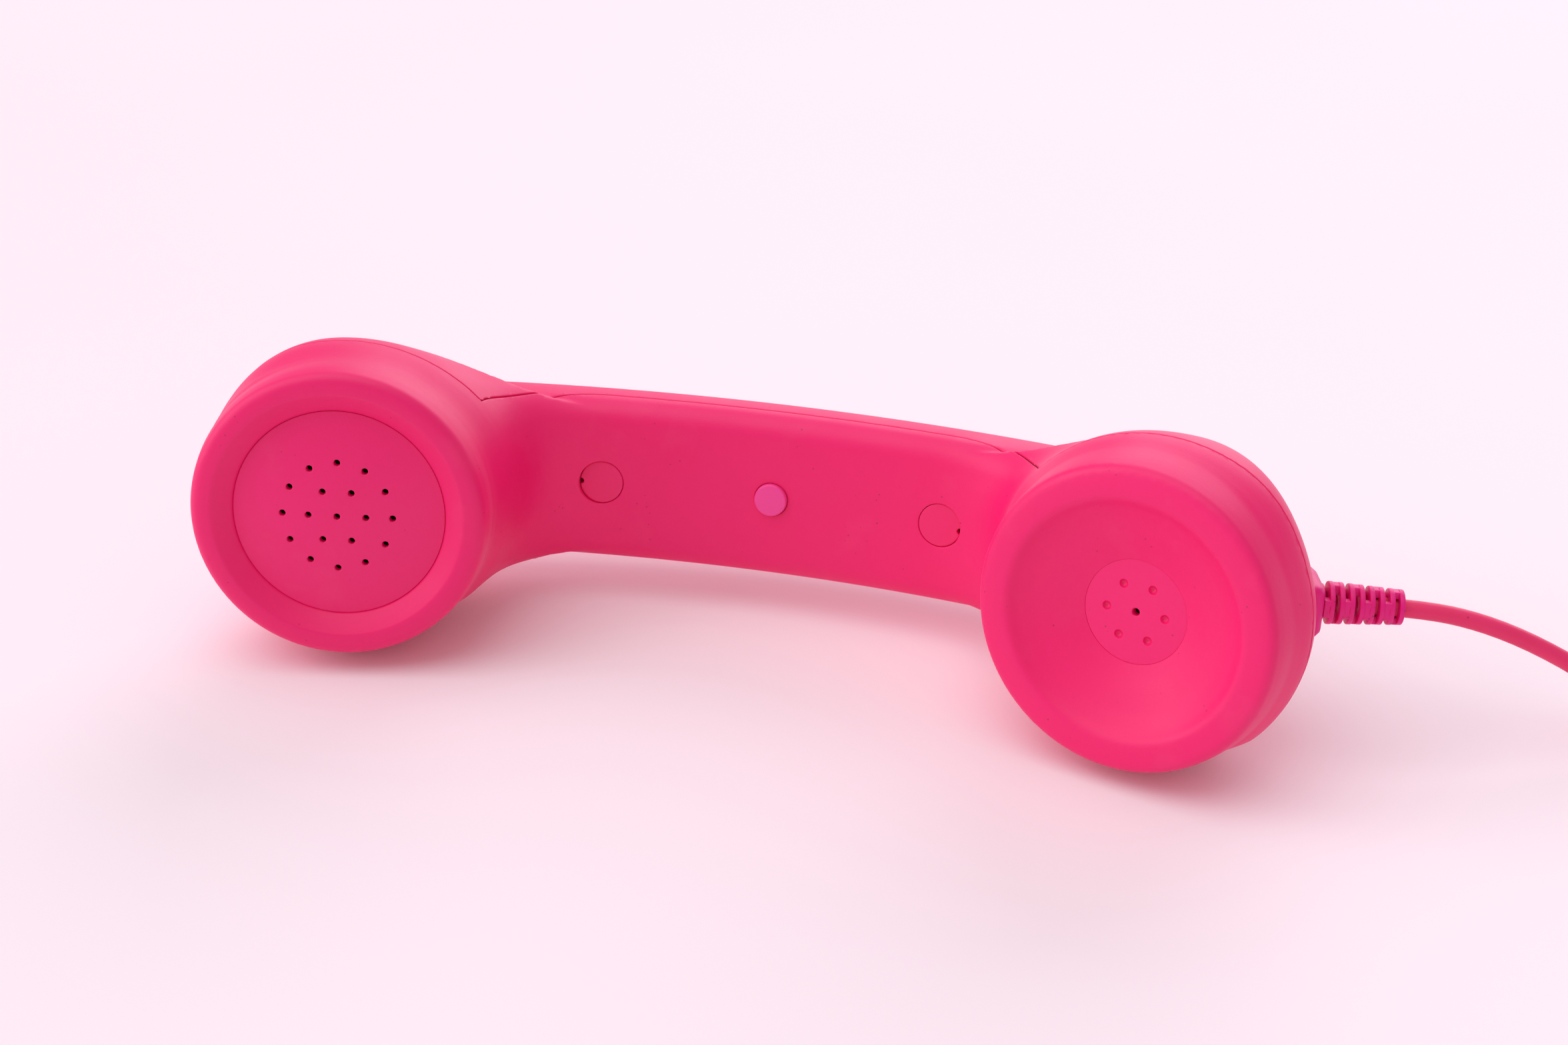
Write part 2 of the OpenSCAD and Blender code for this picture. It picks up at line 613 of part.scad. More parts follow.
front_shell();
rear_shell();
ear_grille();
ear_mesh();
speaker_gasket();
speaker_frame();
speaker_cone();
speaker_magnet();
ear_weight();
mouth_grille();
mic_felt();
mic_boot();
mic_capsule();
mouth_weight();
weight_screws();
button();
switch_plunger();
switch_body();
circuit_board();
board_screws();
body_screws();
screw_caps();
strain_relief();
cord_stop();
ear_wires();
mic_wires();
cord();
cord_coil();
plug_body();
plug_pins();
plug_rings();
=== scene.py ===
"""Looks of the pink retro handset: a soft-touch moulded body around the CAD frame, its cord, and the light."""
import json
import math

import bmesh
import bpy
import numpy as np
from mathutils import Matrix, Vector
from mathutils.geometry import delaunay_2d_cdt


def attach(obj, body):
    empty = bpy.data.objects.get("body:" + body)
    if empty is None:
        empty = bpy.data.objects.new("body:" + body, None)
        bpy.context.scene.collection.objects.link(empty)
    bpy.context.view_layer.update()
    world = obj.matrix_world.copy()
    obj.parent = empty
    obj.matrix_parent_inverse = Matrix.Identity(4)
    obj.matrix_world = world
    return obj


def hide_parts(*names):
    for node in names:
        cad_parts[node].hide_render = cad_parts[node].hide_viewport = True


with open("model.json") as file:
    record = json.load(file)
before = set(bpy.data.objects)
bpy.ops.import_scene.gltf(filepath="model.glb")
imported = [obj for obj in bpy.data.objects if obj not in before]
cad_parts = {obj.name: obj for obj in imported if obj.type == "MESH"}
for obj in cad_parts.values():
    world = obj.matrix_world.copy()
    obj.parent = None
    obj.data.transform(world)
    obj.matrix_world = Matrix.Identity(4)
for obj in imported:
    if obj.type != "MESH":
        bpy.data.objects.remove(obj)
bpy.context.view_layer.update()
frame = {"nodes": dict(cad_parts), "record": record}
MM = 0.001

# ---- the handset's own frame, in millimetres: X ear to mouth, Y to the back, Z across ----
# it leans back, dips a little towards the mouthpiece, and its origin is lifted off the floor
LEAN, PITCH, LIFT = math.radians(10), math.radians(0.414), 31.87
SHIFT = np.array([-7.6, -20.36, 0.0])
POSE = Matrix.Rotation(PITCH, 3, "Y") @ Matrix.Rotation(-LEAN, 3, "X")
POSE_NP = np.array(POSE)


def to_row(points):
    """Points of the handset's frame in the row frame, in metres."""
    return (np.asarray(points, float) @ POSE_NP.T + SHIFT + [0, 0, LIFT]) * MM


class Place:
    """A local frame of the handset: u and v span its plane and w is its depth axis."""

    def __init__(self, origin, u, w):
        self.o = np.array(origin, float)
        self.u = np.array(u, float)
        self.w = np.array(w, float)
        self.v = np.cross(self.w, self.u)

    def local(self, p):
        q = np.asarray(p, float) - self.o
        return q @ self.u, q @ self.v, q @ self.w

    def out(self, x, y, z):
        x, y, z = np.broadcast_arrays(*(np.asarray(a, float) for a in (x, y, z)))
        return self.o + x[..., None] * self.u + y[..., None] * self.v + z[..., None] * self.w


def turned(degrees):
    a = math.radians(degrees)
    return math.cos(a), math.sin(a)


EAR_TILT, MOUTH_TILT = 11.2, 19.3
CUP_X = 76.4  # each cup's centre from the middle
ce, se = turned(EAR_TILT)
cm, sm = turned(MOUTH_TILT)
EAR = Place((-CUP_X, 0, 0), (ce, se, 0), (-se, ce, 0))
MOUTH = Place((CUP_X, 0, 0), (cm, -sm, 0), (sm, cm, 0))
EAR_CREST, MOUTH_CREST = -2.6, -6.4  # depth of each rim's highest line
ARCH_C, ARCH_R = np.array([-5.9, -201.5]), 240.0  # the handle's inner face
GRIP_W, GRIP_T = 34.0, 18.0
NECK_R = 18.0
SEAM = 5.2  # how far behind the handle's inner face the halves part
EAR_SEAM, MOUTH_SEAM = 16.5, 8.0  # and how deep along the cups
WALL = 2.0


def on_arch(x):
    """The place on the handle's inner face at that x, with w pointing into the handle."""
    a = math.pi / 2 - math.asin((x - ARCH_C[0]) / ARCH_R)
    c, s = math.cos(a), math.sin(a)
    return Place((ARCH_C[0] + ARCH_R * c, ARCH_C[1] + ARCH_R * s, 0), (s, -c, 0), (c, s, 0))


CAP_1, CAP_2, BUTTON = on_arch(-34.85), on_arch(35.2), on_arch(0.2)
RELIEF_AXIS = turned(9.5)
RELIEF = Place((104.6, 16.6, 0), (-RELIEF_AXIS[1], RELIEF_AXIS[0], 0), (RELIEF_AXIS[0], RELIEF_AXIS[1], 0))


# ---- materials ----
def srgb(r, g, b):
    """A display colour, 0 to 255, as linear light."""
    def one(c):
        c /= 255
        return c / 12.92 if c <= 0.04045 else ((c + 0.055) / 1.055) ** 2.4
    return one(r), one(g), one(b), 1.0


class Mat:
    """A node material under construction."""

    def __init__(self, name, base, rough=0.5, metal=0.0, **sockets):
        self.m = bpy.data.materials.new(name)
        self.m.use_nodes = True
        self.t = self.m.node_tree
        self.b = self.t.nodes["Principled BSDF"]
        self.b.inputs["Base Color"].default_value = base
        self.b.inputs["Roughness"].default_value = rough
        self.b.inputs["Metallic"].default_value = metal
        for key, value in sockets.items():
            self.b.inputs[key.replace("_", " ")].default_value = value
        self.coord = self.t.nodes.new("ShaderNodeTexCoord").outputs["Object"]

    def feed(self, socket, value):
        """Links an input to another node's output, or sets its value."""
        if isinstance(value, bpy.types.NodeSocket):
            self.t.links.new(value, socket)
        else:
            socket.default_value = value

    def node(self, kind, **inputs):
        n = self.t.nodes.new("ShaderNode" + kind)
        for key, value in inputs.items():
            self.feed(n.inputs[key.replace("_", " ")], value)
        return n

    def noise(self, scale, detail=2.0, rough=0.5, coord=None):
        """Soft noise, with scale in waves per metre."""
        n = self.node("TexNoise", Scale=scale, Detail=detail, Roughness=rough)
        self.t.links.new(coord or self.coord, n.inputs["Vector"])
        return n.outputs["Fac"]

    def spots(self, scale, low, high):
        """Small round marks: 1 within low of a cell's point, 0 beyond high."""
        n = self.node("TexVoronoi", Scale=scale, Randomness=1.0)
        self.t.links.new(self.coord, n.inputs["Vector"])
        return self.ramp(n.outputs["Distance"], low, high, 1.0, 0.0)

    def ramp(self, value, low, high, to_low=0.0, to_high=1.0):
        n = self.node("MapRange", Value=value, From_Min=low, From_Max=high, To_Min=to_low, To_Max=to_high)
        return n.outputs["Result"]

    def math(self, op, a, b=0.0):
        n = self.t.nodes.new("ShaderNodeMath")
        n.operation = op
        for socket, value in zip(n.inputs, (a, b)):
            self.feed(socket, value)
        return n.outputs[0]

    def mix(self, factor, a, b):
        n = self.t.nodes.new("ShaderNodeMix")
        n.data_type = "RGBA"
        for index, value in ((0, factor), (6, a), (7, b)):  # the colour sockets of a Mix node
            self.feed(n.inputs[index], value)
        return n.outputs[2]

    def colour(self, socket):
        self.t.links.new(socket, self.b.inputs["Base Color"])

    def roughness(self, socket):
        self.t.links.new(socket, self.b.inputs["Roughness"])

    def bump(self, height, strength, distance):
        n = self.node("Bump", Strength=strength, Distance=distance, Height=height)
        self.t.links.new(n.outputs["Normal"], self.b.inputs["Normal"])
        return self


def soft_pink(name, base, dark, rough, dirt=1.0, grain=0.35, stain=None):
    """Soft-touch moulded plastic: faint mottling, fine grain, rubbed patches, dust specks and perhaps a stain."""
    m = Mat(name, base, rough, Specular_IOR_Level=0.52, Sheen_Weight=0.12, Sheen_Roughness=0.3,
            Sheen_Tint=(1.0, 0.72, 0.95, 1.0))
    mottle = m.ramp(m.noise(38, 4.0, 0.6), 0.35, 0.7)
    tone = m.mix(m.math("MULTIPLY", mottle, 0.35), base, dark)
    worn = m.ramp(m.noise(75, 3.0, 0.55), 0.60, 0.78)
    tone = m.mix(m.math("MULTIPLY", worn, 0.06), tone, srgb(250, 130, 170))
    thin = m.ramp(m.noise(160, 1.0), 0.60, 0.66)
    specks = m.math("MULTIPLY", m.spots(620, 0.07, 0.14), thin)
    tone = m.mix(m.math("MULTIPLY", specks, 0.55 * dirt), tone, srgb(120, 20, 50))
    if stain is not None:
        away = m.t.nodes.new("ShaderNodeVectorMath")
        away.operation = "DISTANCE"
        m.t.links.new(m.coord, away.inputs[0])
        away.inputs[1].default_value = tuple(to_row(stain))
        reach = m.math("ADD", away.outputs["Value"], m.math("MULTIPLY", m.noise(350, 3.0), 2 * MM))
        tone = m.mix(m.ramp(reach, 1.4 * MM, 3.6 * MM, 0.5, 0.0), tone, srgb(236, 62, 62))
    m.colour(tone)
    gloss = m.math("ADD", m.noise(60, 3.0), m.math("MULTIPLY", worn, -0.3))
    m.roughness(m.ramp(gloss, 0.2, 0.8, rough + 0.06, rough - 0.06))
    fine = m.math("ADD", m.noise(2600, 2.0, 0.6), m.math("MULTIPLY", m.noise(900, 2.0, 0.5), 0.6))
    return m.bump(fine, grain, 0.00005).m


PINK = srgb(246, 6, 110)
PINK_DARK = srgb(240, 8, 100)
shell_mat = soft_pink("shell_pink", PINK, PINK_DARK, 0.50)
EAR_STAIN = EAR.out(-13.8, 5.0, 1.4)  # a small reddish mark near the ear disc's edge
disc_mat = soft_pink("disc_pink", srgb(246, 14, 114), PINK_DARK, 0.44, stain=EAR_STAIN)
cap_mat = soft_pink("cap_pink", srgb(244, 20, 110), PINK_DARK, 0.46, dirt=0.6)
button_mat = soft_pink("button_pink", srgb(250, 66, 156), srgb(244, 56, 142), 0.36, dirt=0.5, grain=0.2)


def rubber(name, base, dark, rough):
    """Moulded flexible jacket with a dull skin and grime in small specks."""
    m = Mat(name, base, rough, Specular_IOR_Level=0.4)
    tone = m.mix(m.math("MULTIPLY", m.ramp(m.noise(90, 4.0, 0.6), 0.35, 0.7), 0.5), base, dark)
    thin = m.ramp(m.noise(120, 2.0), 0.50, 0.60)
    specks = m.math("MULTIPLY", m.spots(700, 0.12, 0.22), thin)
    tone = m.mix(m.math("MULTIPLY", specks, 0.65), tone, srgb(110, 25, 50))
    m.colour(tone)
    m.roughness(m.ramp(m.noise(150, 3.0), 0.3, 0.7, rough - 0.05, rough + 0.08))
    return m.bump(m.noise(1500, 2.0, 0.6), 0.3, 0.00006).m


relief_mat = rubber("relief_magenta", srgb(240, 10, 134), srgb(226, 8, 118), 0.40)
cord_mat = rubber("cord_pink", srgb(240, 48, 110), srgb(230, 40, 96), 0.46)


def metal(name, base, rough, grain_scale=400.0):
    """Plated or turned metal with fine streaks and dull patches."""
    m = Mat(name, base, rough, 1.0)
    streak = m.node("Mapping", Scale=(1.0, 1.0, 12.0))
    m.t.links.new(m.coord, streak.inputs["Vector"])
    lines = m.noise(grain_scale, 3.0, 0.6, streak.outputs["Vector"])
    patches = m.math("ADD", m.math("MULTIPLY", lines, 0.6), m.noise(70, 3.0))
    m.roughness(m.ramp(patches, 0.3, 1.3, rough - 0.08, rough + 0.14))
    dull = tuple(0.75 * c for c in base[:3]) + (1.0,)
    m.colour(m.mix(m.math("MULTIPLY", m.ramp(m.noise(120, 4.0), 0.45, 0.75), 0.4), base, dull))
    return m.bump(lines, 0.15, 0.00003).m


def plain(name, base, rough, scale=500.0, strength=0.3, metal_share=0.0):
    """A plain moulded, coated or woven material with a little tone and grain."""
    m = Mat(name, base, rough, metal_share)
    light = tuple(min(1.0, c * 1.5 + 0.01) for c in base[:3]) + (1.0,)
    m.colour(m.mix(m.ramp(m.noise(scale * 0.2, 3.0), 0.35, 0.75, 0.0, 0.6), base, light))
    m.roughness(m.ramp(m.noise(scale * 0.4, 2.0), 0.3, 0.7, rough - 0.05, rough + 0.1))
    return m.bump(m.noise(scale, 2.0), strength, 0.00008).m


gold_mat = metal("plug_gold", srgb(222, 188, 120), 0.22)
steel_mat = metal("zinc_steel", srgb(170, 172, 176), 0.34)
tin_mat = metal("tin_plate", srgb(196, 197, 201), 0.4)
black_mat = plain("black_plastic", srgb(16, 15, 16), 0.5)
cloth_mat = plain("black_cloth", srgb(13, 12, 13), 0.9, 3000.0, 0.9)
dark_rubber_mat = plain("black_rubber", srgb(20, 19, 20), 0.75, 900.0)
paper_mat = plain("cone_paper", srgb(32, 29, 28), 0.85, 1800.0, 0.6)
board_mat = plain("board_green", srgb(14, 92, 48), 0.35, 700.0)
red_mat = plain("wire_red", srgb(176, 22, 22), 0.45)

SLOT_MATS = {
    "shell": shell_mat, "button": button_mat, "relief": relief_mat, "cord": cord_mat, "plug_metal": gold_mat,
    "steel": steel_mat, "tin": tin_mat, "black_plastic": black_mat, "wire_red": red_mat, "board": board_mat,
    "dark_rubber": dark_rubber_mat, "dark_cloth": cloth_mat, "dark_paper": paper_mat,
}


# ---- making pieces ----
MERGE = 2e-6  # points nearer than this are one, in metres


def new_object(name, data):
    obj = bpy.data.objects.new(name, data)
    bpy.context.scene.collection.objects.link(obj)
    return obj


def piece(name, points, faces, material, body="handset", stands_for=(), smooth=35, row=False):
    """A mesh object riding on its body, from points of the handset's frame, or of the row frame in metres."""
    mesh = bpy.data.meshes.new(name)
    place = np.asarray(points, float) if row else to_row(points)
    mesh.from_pydata(place.tolist(), [], [tuple(int(i) for i in f) for f in faces])
    mesh.validate()
    bm = bmesh.new()
    bm.from_mesh(mesh)
    bmesh.ops.remove_doubles(bm, verts=bm.verts, dist=MERGE)
    bmesh.ops.dissolve_degenerate(bm, edges=bm.edges, dist=1e-7)
    bmesh.ops.recalc_face_normals(bm, faces=bm.faces)
    bm.to_mesh(mesh)
    bm.free()
    obj = new_object(name, mesh)
    mesh.materials.append(material)
    mesh.shade_smooth()
    if smooth:
        mesh.set_sharp_from_angle(angle=math.radians(smooth))
    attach(obj, body)
    if stands_for:
        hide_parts(*stands_for)
    return obj


def revolve(place, profile, sides=96, closed=False):
    """Points and faces of a profile of (radius, depth) turned round a place's w axis."""
    points, rings, faces = [], [], []
    angles = np.arange(sides) * 2 * math.pi / sides
    for r, d in profile:
        if r < 1e-6:
            rings.append([len(points)] * sides)
            points.append(place.out(0, 0, d))
            continue
        start = len(points)
        points.extend(place.out(r * np.cos(angles), r * np.sin(angles), d))
        rings.append(list(range(start, start + sides)))
    loop = rings + rings[:1] if closed else rings
    for a, b in zip(loop, loop[1:]):
        for i in range(sides):
            j = (i + 1) % sides
            quad = []
            for k in (a[i], a[j], b[j], b[i]):
                if k not in quad:
                    quad.append(k)
            if len(quad) > 2:
                faces.append(quad)
    return points, faces


def two_tris(a, b, c, d):
    """Quads, given by their four corners, as triangles."""
    return [np.stack([a, b, c], 1), np.stack([a, c, d], 1)]


def joined(*parts):
    """Several (points, faces) as one."""
    points, faces = [], []
    for p, f in parts:
        base = len(points)
        points.extend(np.asarray(p, float).tolist())
        faces.extend([[i + base for i in face] for face in f])
    return points, faces


def rounded(points, r, steps=4):
    """A polyline of (x, y) with its inner corners rounded off by up to r."""
    out = [points[0]]
    for a, b, c in zip(points, points[1:], points[2:]):
        a, b, c = (np.array(q, float) for q in (a, b, c))
        la, lc = np.linalg.norm(a - b), np.linalg.norm(c - b)
        cut = min(r, 0.45 * la, 0.45 * lc)
        p, q = b + (a - b) / la * cut, b + (c - b) / lc * cut
        for i in range(steps + 1):
            t = i / steps
            out.append(tuple((1 - t) ** 2 * p + 2 * t * (1 - t) * b + t * t * q))
    return out + [points[-1]]


# ---- camera ----
# right, down and forward axes of the camera in the handset's frame, and the handset's origin seen from it
CAMERA_AXES = ((0.97486, 0.21704, 0.05041), (0.11743, -0.30818, -0.94405), (-0.18936, 0.92624, -0.32592))
CAMERA_SHIFT = (-11.167, 7.190, 434.61)
CAMERA_LENS = 53.57


def make_camera():
    cam = new_object("camera", bpy.data.cameras.new("camera"))
    cam.data.sensor_width = 36
    cam.data.lens = CAMERA_LENS
    cam.data.clip_start, cam.data.clip_end = 0.01, 20
    right, down, forward = (Vector(POSE @ Vector(axis)) for axis in CAMERA_AXES)
    turn = Matrix((right, -down, -forward)).transposed().to_4x4()
    centre = -sum((Vector(a) * c for a, c in zip(CAMERA_AXES, CAMERA_SHIFT)), Vector((0, 0, 0)))
    cam.matrix_world = Matrix.Translation(Vector(to_row(centre))) @ turn
    bpy.context.scene.camera = cam


make_camera()


# ---- cord ----
CORD_D = 3.4
COIL = np.array([200.0, 9.0])
COIL_R = 22.9  # of the outermost turn's middle line
PLUG = np.array([231.0, COIL[1] + COIL_R + 1.4, 3.6])
CORD_IN = [
    (117.3, 18.5, 27.8), (124.8, 19.7, 27.3), (130.6, 20.7, 26.7), (136.9, 21.7, 25.3), (145, 23.1, 22.4),
    (155, 24.8, 17.2), (163, 26.2, 11.8), (170, 27.4, 7.4), (177, 28.7, 4.2), (184, 30, 2.3), (191, 31, 1.8),
    (196, 31.6, CORD_D / 2),
]
CORD_OUT = [
    (COIL[0] + 7, COIL[1] + COIL_R + 0.3, CORD_D * 1.5 - 0.1), (COIL[0] + 15, COIL[1] + COIL_R + 0.8, 4.6),
    (COIL[0] + 23, COIL[1] + COIL_R + 1.2, 4.0), tuple(PLUG),
]
PER_TURN = 36
LAYER_TURNS = 4
CROSSING = 0.28  # share of a turn in which the cord moves over by one track


def track(turn):
    """The track at that turn: whole ones, with an even crossing at each turn's end."""
    return math.floor(turn) + min(max((turn % 1 - (1 - CROSSING)) / CROSSING, 0), 1)


def coil_points():
    """Eight turns clockwise from above: four spiral in on the floor, four spiral out on top."""
    points = []
    total = 2 * LAYER_TURNS * PER_TURN
    for i in range(total + 1):
        turn = i / PER_TURN
        down = min(turn, LAYER_TURNS)
        up = max(turn - LAYER_TURNS, 0)
        r = COIL_R - CORD_D * (min(track(down), LAYER_TURNS - 1) - min(track(up), LAYER_TURNS - 1))
        rise = min(max((turn - LAYER_TURNS + CROSSING) / CROSSING, 0), 1)
        z = CORD_D * (0.5 + rise * rise * (3 - 2 * rise))
        a = math.pi / 2 - turn * 2 * math.pi
        points.append((COIL[0] + r * math.cos(a), COIL[1] + r * math.sin(a), z))
    return points


def cord_line():
    line = np.array(CORD_IN + coil_points() + CORD_OUT)
    return (line + SHIFT) * MM


def make_cord():
    """The round cord as one open curve, from the strain relief to the plug."""
    line = cord_line()
    curve = bpy.data.curves.new("cord_run", "CURVE")
    curve.dimensions = "3D"
    spline = curve.splines.new("NURBS")
    spline.points.add(len(line) - 1)
    for p, q in zip(spline.points, line):
        p.co = (*q, 1.0)
    spline.order_u = 4
    spline.use_endpoint_u = True
    spline.resolution_u = 3
    curve.bevel_depth = CORD_D / 2 * MM
    curve.bevel_resolution = 6
    curve.use_fill_caps = True
    curve.materials.append(cord_mat)
    obj = new_object("cord_run", curve)
    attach(obj, "handset")
    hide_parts("cord", "cord_coil")
    return obj, line


cord_obj, cord_path = make_cord()


# ---- plug ----
JACK_R = 1.75
BANDS = (27.9, 30.9, 33.9)  # where the black rings between the four contacts start
GRIP_RIB_R, GRIP_END = 3.55, 24.0


def make_plug():
    """Overmoulded four-pole jack from (radius, depth) outlines: a ribbed grip, gold contacts and black rings."""
    along = Place(np.zeros(3), (0, 1, 0), (1, 0, 0))
    at = PLUG + SHIFT

    def put(name, parts, material, stands_for):
        points, faces = parts
        return piece(name, (np.asarray(points) + at) * MM, faces, material, "handset", stands_for, 30, True)

    outline = [(0.0, 0.0), (1.75, 0.0), (2.35, 0.3), (2.7, 7.2), (3.0, 8.0), (GRIP_RIB_R, 8.5)]
    for i in range(7):
        z = 10 + i * 1.5
        outline += [(GRIP_RIB_R, z), (3.2, z + 0.25), (3.2, z + 0.75), (GRIP_RIB_R, z + 1.0)]
    outline += [(3.58, 22.6), (3.3, 23.6), (2.6, GRIP_END), (0.0, GRIP_END)]
    body = put("plug_grip", revolve(along, rounded(outline, 0.22, 2), 48), relief_mat, ["plug_body"])
    tip = [(0, GRIP_END), (JACK_R, GRIP_END)]
    for z in BANDS:
        tip += [(JACK_R, z), (1.7, z + 0.05), (1.7, z + 0.45), (JACK_R, z + 0.5)]
    tip += [(JACK_R, 35.3), (1.35, 35.9), (1.2, 36.1), (1.3, 36.4), (1.58, 36.8), (1.45, 37.3), (0.9, 37.85),
            (0, 38.0)]
    pins = put("plug_contacts", revolve(along, tip, 48), gold_mat, ["plug_pins"])
    bands = []
    for z in BANDS:
        low, high = z + 0.02, z + 0.48
        bands.append(revolve(along, [(1.6, low), (1.735, low), (1.735, high), (1.6, high)], 48, True))
    rings = put("plug_bands", joined(*bands), black_mat, ["plug_rings"])
    return [body, pins, rings]


plug_pieces = make_plug()


# ---- moulded body ----
def arc(cx, cy, r, a0, a1, n):
    """Points of an arc, angles in degrees."""
    return [(cx + r * math.cos(math.radians(a0 + (a1 - a0) * i / n)),
             cy + r * math.sin(math.radians(a0 + (a1 - a0) * i / n))) for i in range(n + 1)]


# outlines of the two cups as (depth, radius), and of the handle's section as (depth, half width)
EAR_OUTLINE = ([(EAR_CREST, -1.0)] + [(d, r) for r, d in arc(26.3, -0.4, 2.2, -90, -8, 6)]
               + [(8, 28.9), (16, 29.3), (20, 28.2), (24, 25.7), (28, 22.0), (32, 17.6), (35.2, 12.4), (37.0, 6.4),
                  (37.5, -1)])
MOUTH_OUTLINE = ([(MOUTH_CREST, -1.0)] + [(d, r) for r, d in arc(27.0, -4.6, 1.8, -90, -5, 6)]
                 + [(2, 29.5), (8, 30.3), (12, 29.4), (15, 28.1), (18.8, 25.8), (22, 23.3), (25, 21.2), (28, 18.9),
                    (31.4, 14.5), (33.6, 8), (34.2, -1)])
GRIP_HALF = GRIP_W / 2
GRIP_SECTION = ([(0, -1.0), (0, GRIP_HALF - 4.8)]
                + [(d, r) for r, d in arc(GRIP_HALF - 4.8, 4.8, 4.8, -80, 0, 5)]
                + [(d, r) for r, d in arc(GRIP_HALF - 8, GRIP_T - 8.6, 8, 0, 72, 6)]
                + [(GRIP_T - 0.25, 5.0), (GRIP_T, 0.0), (GRIP_T, -1.0)])
NECK_BLEND, REAR_BLEND = 26.0, 2.5  # width of the blend of cup and handle, on the inner face and at the back
BLEND_LOW = 21.0  # the blend fades out this far under the middle, so that it stays above the floor
HANDLE_REACH, REACH_BLEND = 82.0, 12.0  # where the handle ends inside the cups, and how softly
CUP_SWELL, SWELL_START, SWELL_RISE, SWELL_DEPTH = 0.8, 10.0, 20.0, 12.0  # the cups bulge a little on one side
LEAST_BLEND = 0.5


def poly_distance(x, y, outline):
    """Signed distance from a closed outline, negative inside."""
    v = np.asarray(outline, float)
    best = np.full(x.shape, 1e18)
    sign = np.ones(x.shape)
    for i in range(len(v)):
        a, b = v[i], v[i - 1]
        ex, ey = b - a
        wx, wy = x - a[0], y - a[1]
        h = np.clip((wx * ex + wy * ey) / (ex * ex + ey * ey), 0, 1)
        best = np.minimum(best, (wx - ex * h) ** 2 + (wy - ey * h) ** 2)
        c1, c2, c3 = y >= a[1], y < b[1], ex * wy > ey * wx
        sign = np.where((c1 & c2 & c3) | (~c1 & ~c2 & ~c3), -sign, sign)
    return sign * np.sqrt(best)


def ease(t):
    """0 to 1 with soft ends."""
    t = np.clip(t, 0, 1)
    return t * t * (3 - 2 * t)


def through(points, steps=4):
    """A smooth curve through the points, with steps pieces between each two."""
    p = np.asarray(points, float)
    size = np.linalg.norm(np.diff(p, axis=0), axis=1)
    slope = np.diff(p, axis=0) / size[:, None]
    share = (size[1:] / (size[1:] + size[:-1]))[:, None]
    middle = slope[:-1] * share + slope[1:] * (1 - share)
    tangent = np.concatenate([slope[:1], middle, slope[-1:]])
    out = []
    for i in range(len(size)):
        for k in range(steps):
            t = k / steps
            out.append((1 + 2 * t) * (1 - t) ** 2 * p[i] + t * t * (3 - 2 * t) * p[i + 1]
                       + size[i] * (t * (1 - t) ** 2 * tangent[i] - t * t * (1 - t) * tangent[i + 1]))
    return np.array(out + [p[-1]])


class Outline:
    """Signed distance from a smooth closed outline, looked up in a fine grid."""

    def __init__(self, points, low, high, step=0.25):
        self.low, self.step = np.array(low, float), step
        self.n = np.ceil((np.array(high) - self.low) / step).astype(int) + 1
        x, y = np.meshgrid(*(self.low[k] + step * np.arange(self.n[k]) for k in (0, 1)), indexing="ij")
        self.value = poly_distance(x.ravel(), y.ravel(), through(points)).reshape(self.n)

    def distance(self, x, y):
        fx, fy = (x - self.low[0]) / self.step, (y - self.low[1]) / self.step
        cx, cy = np.clip(fx, 0, self.n[0] - 1.001), np.clip(fy, 0, self.n[1] - 1.001)
        i, j = cx.astype(int), cy.astype(int)
        tx, ty = cx - i, cy - j
        v = self.value
        first, second = (v[i, j + k] * (1 - tx) + v[i + 1, j + k] * tx for k in (0, 1))
        near = first * (1 - ty) + second * ty
        return near + self.step * np.hypot(fx - cx, fy - cy)


def soft_min(a, b, k):
    """The smaller of two distances, rounded over where they differ by less than k."""
    h = np.clip(0.5 + 0.5 * (b - a) / k, 0, 1)
    return b + (a - b) * h - k * h * (1 - h)


EAR_CUP = Outline(EAR_OUTLINE, (-20, 0), (66, 62))
MOUTH_CUP = Outline(MOUTH_OUTLINE, (-22, 0), (64, 62))
GRIP = Outline(GRIP_SECTION, (-30, 0), (50, 48))


def body_distance(p):
    """Signed distance from the outside of the whole moulded body."""
    cups, fades = [], []
    for place, outline, crest in ((EAR, EAR_CUP, EAR_CREST), (MOUTH, MOUTH_CUP, MOUTH_CREST)):
        x, y, d = place.local(p)
        up = p[:, 2] if place is MOUTH else -p[:, 2]
        swell = CUP_SWELL * ease((up - SWELL_START) / SWELL_RISE) * ease((d - crest) / SWELL_DEPTH)
        cups.append(outline.distance(d, np.hypot(x, y) - swell))
        fades.append(ease((d - crest - 1.0) / 8))
    rho = np.hypot(p[:, 0] - ARCH_C[0], p[:, 1] - ARCH_C[1]) - ARCH_R
    grip = GRIP.distance(rho, np.abs(p[:, 2]))
    grip = -soft_min(-grip, HANDLE_REACH - np.abs(p[:, 0]), REACH_BLEND)
    w = ease((rho - 0.5) / 5)
    low = 1 - ease((-p[:, 2] - BLEND_LOW) / 8)
    blend = (NECK_BLEND * (1 - w) + REAR_BLEND * w) * low
    first = soft_min(grip, cups[0], blend * fades[0] + LEAST_BLEND)
    return soft_min(first, cups[1], blend * fades[1] + LEAST_BLEND)


def gradient(field, p, h=0.04):
    """Slope of a field at each point, from differences over h either way."""
    g = np.zeros_like(p)
    for k in range(3):
        step = np.zeros(3)
        step[k] = h
        g[:, k] = (field(p + step) - field(p - step)) / (2 * h)
    return g


def unit(v):
    return v / np.maximum(np.linalg.norm(v, axis=-1, keepdims=True), 1e-12)


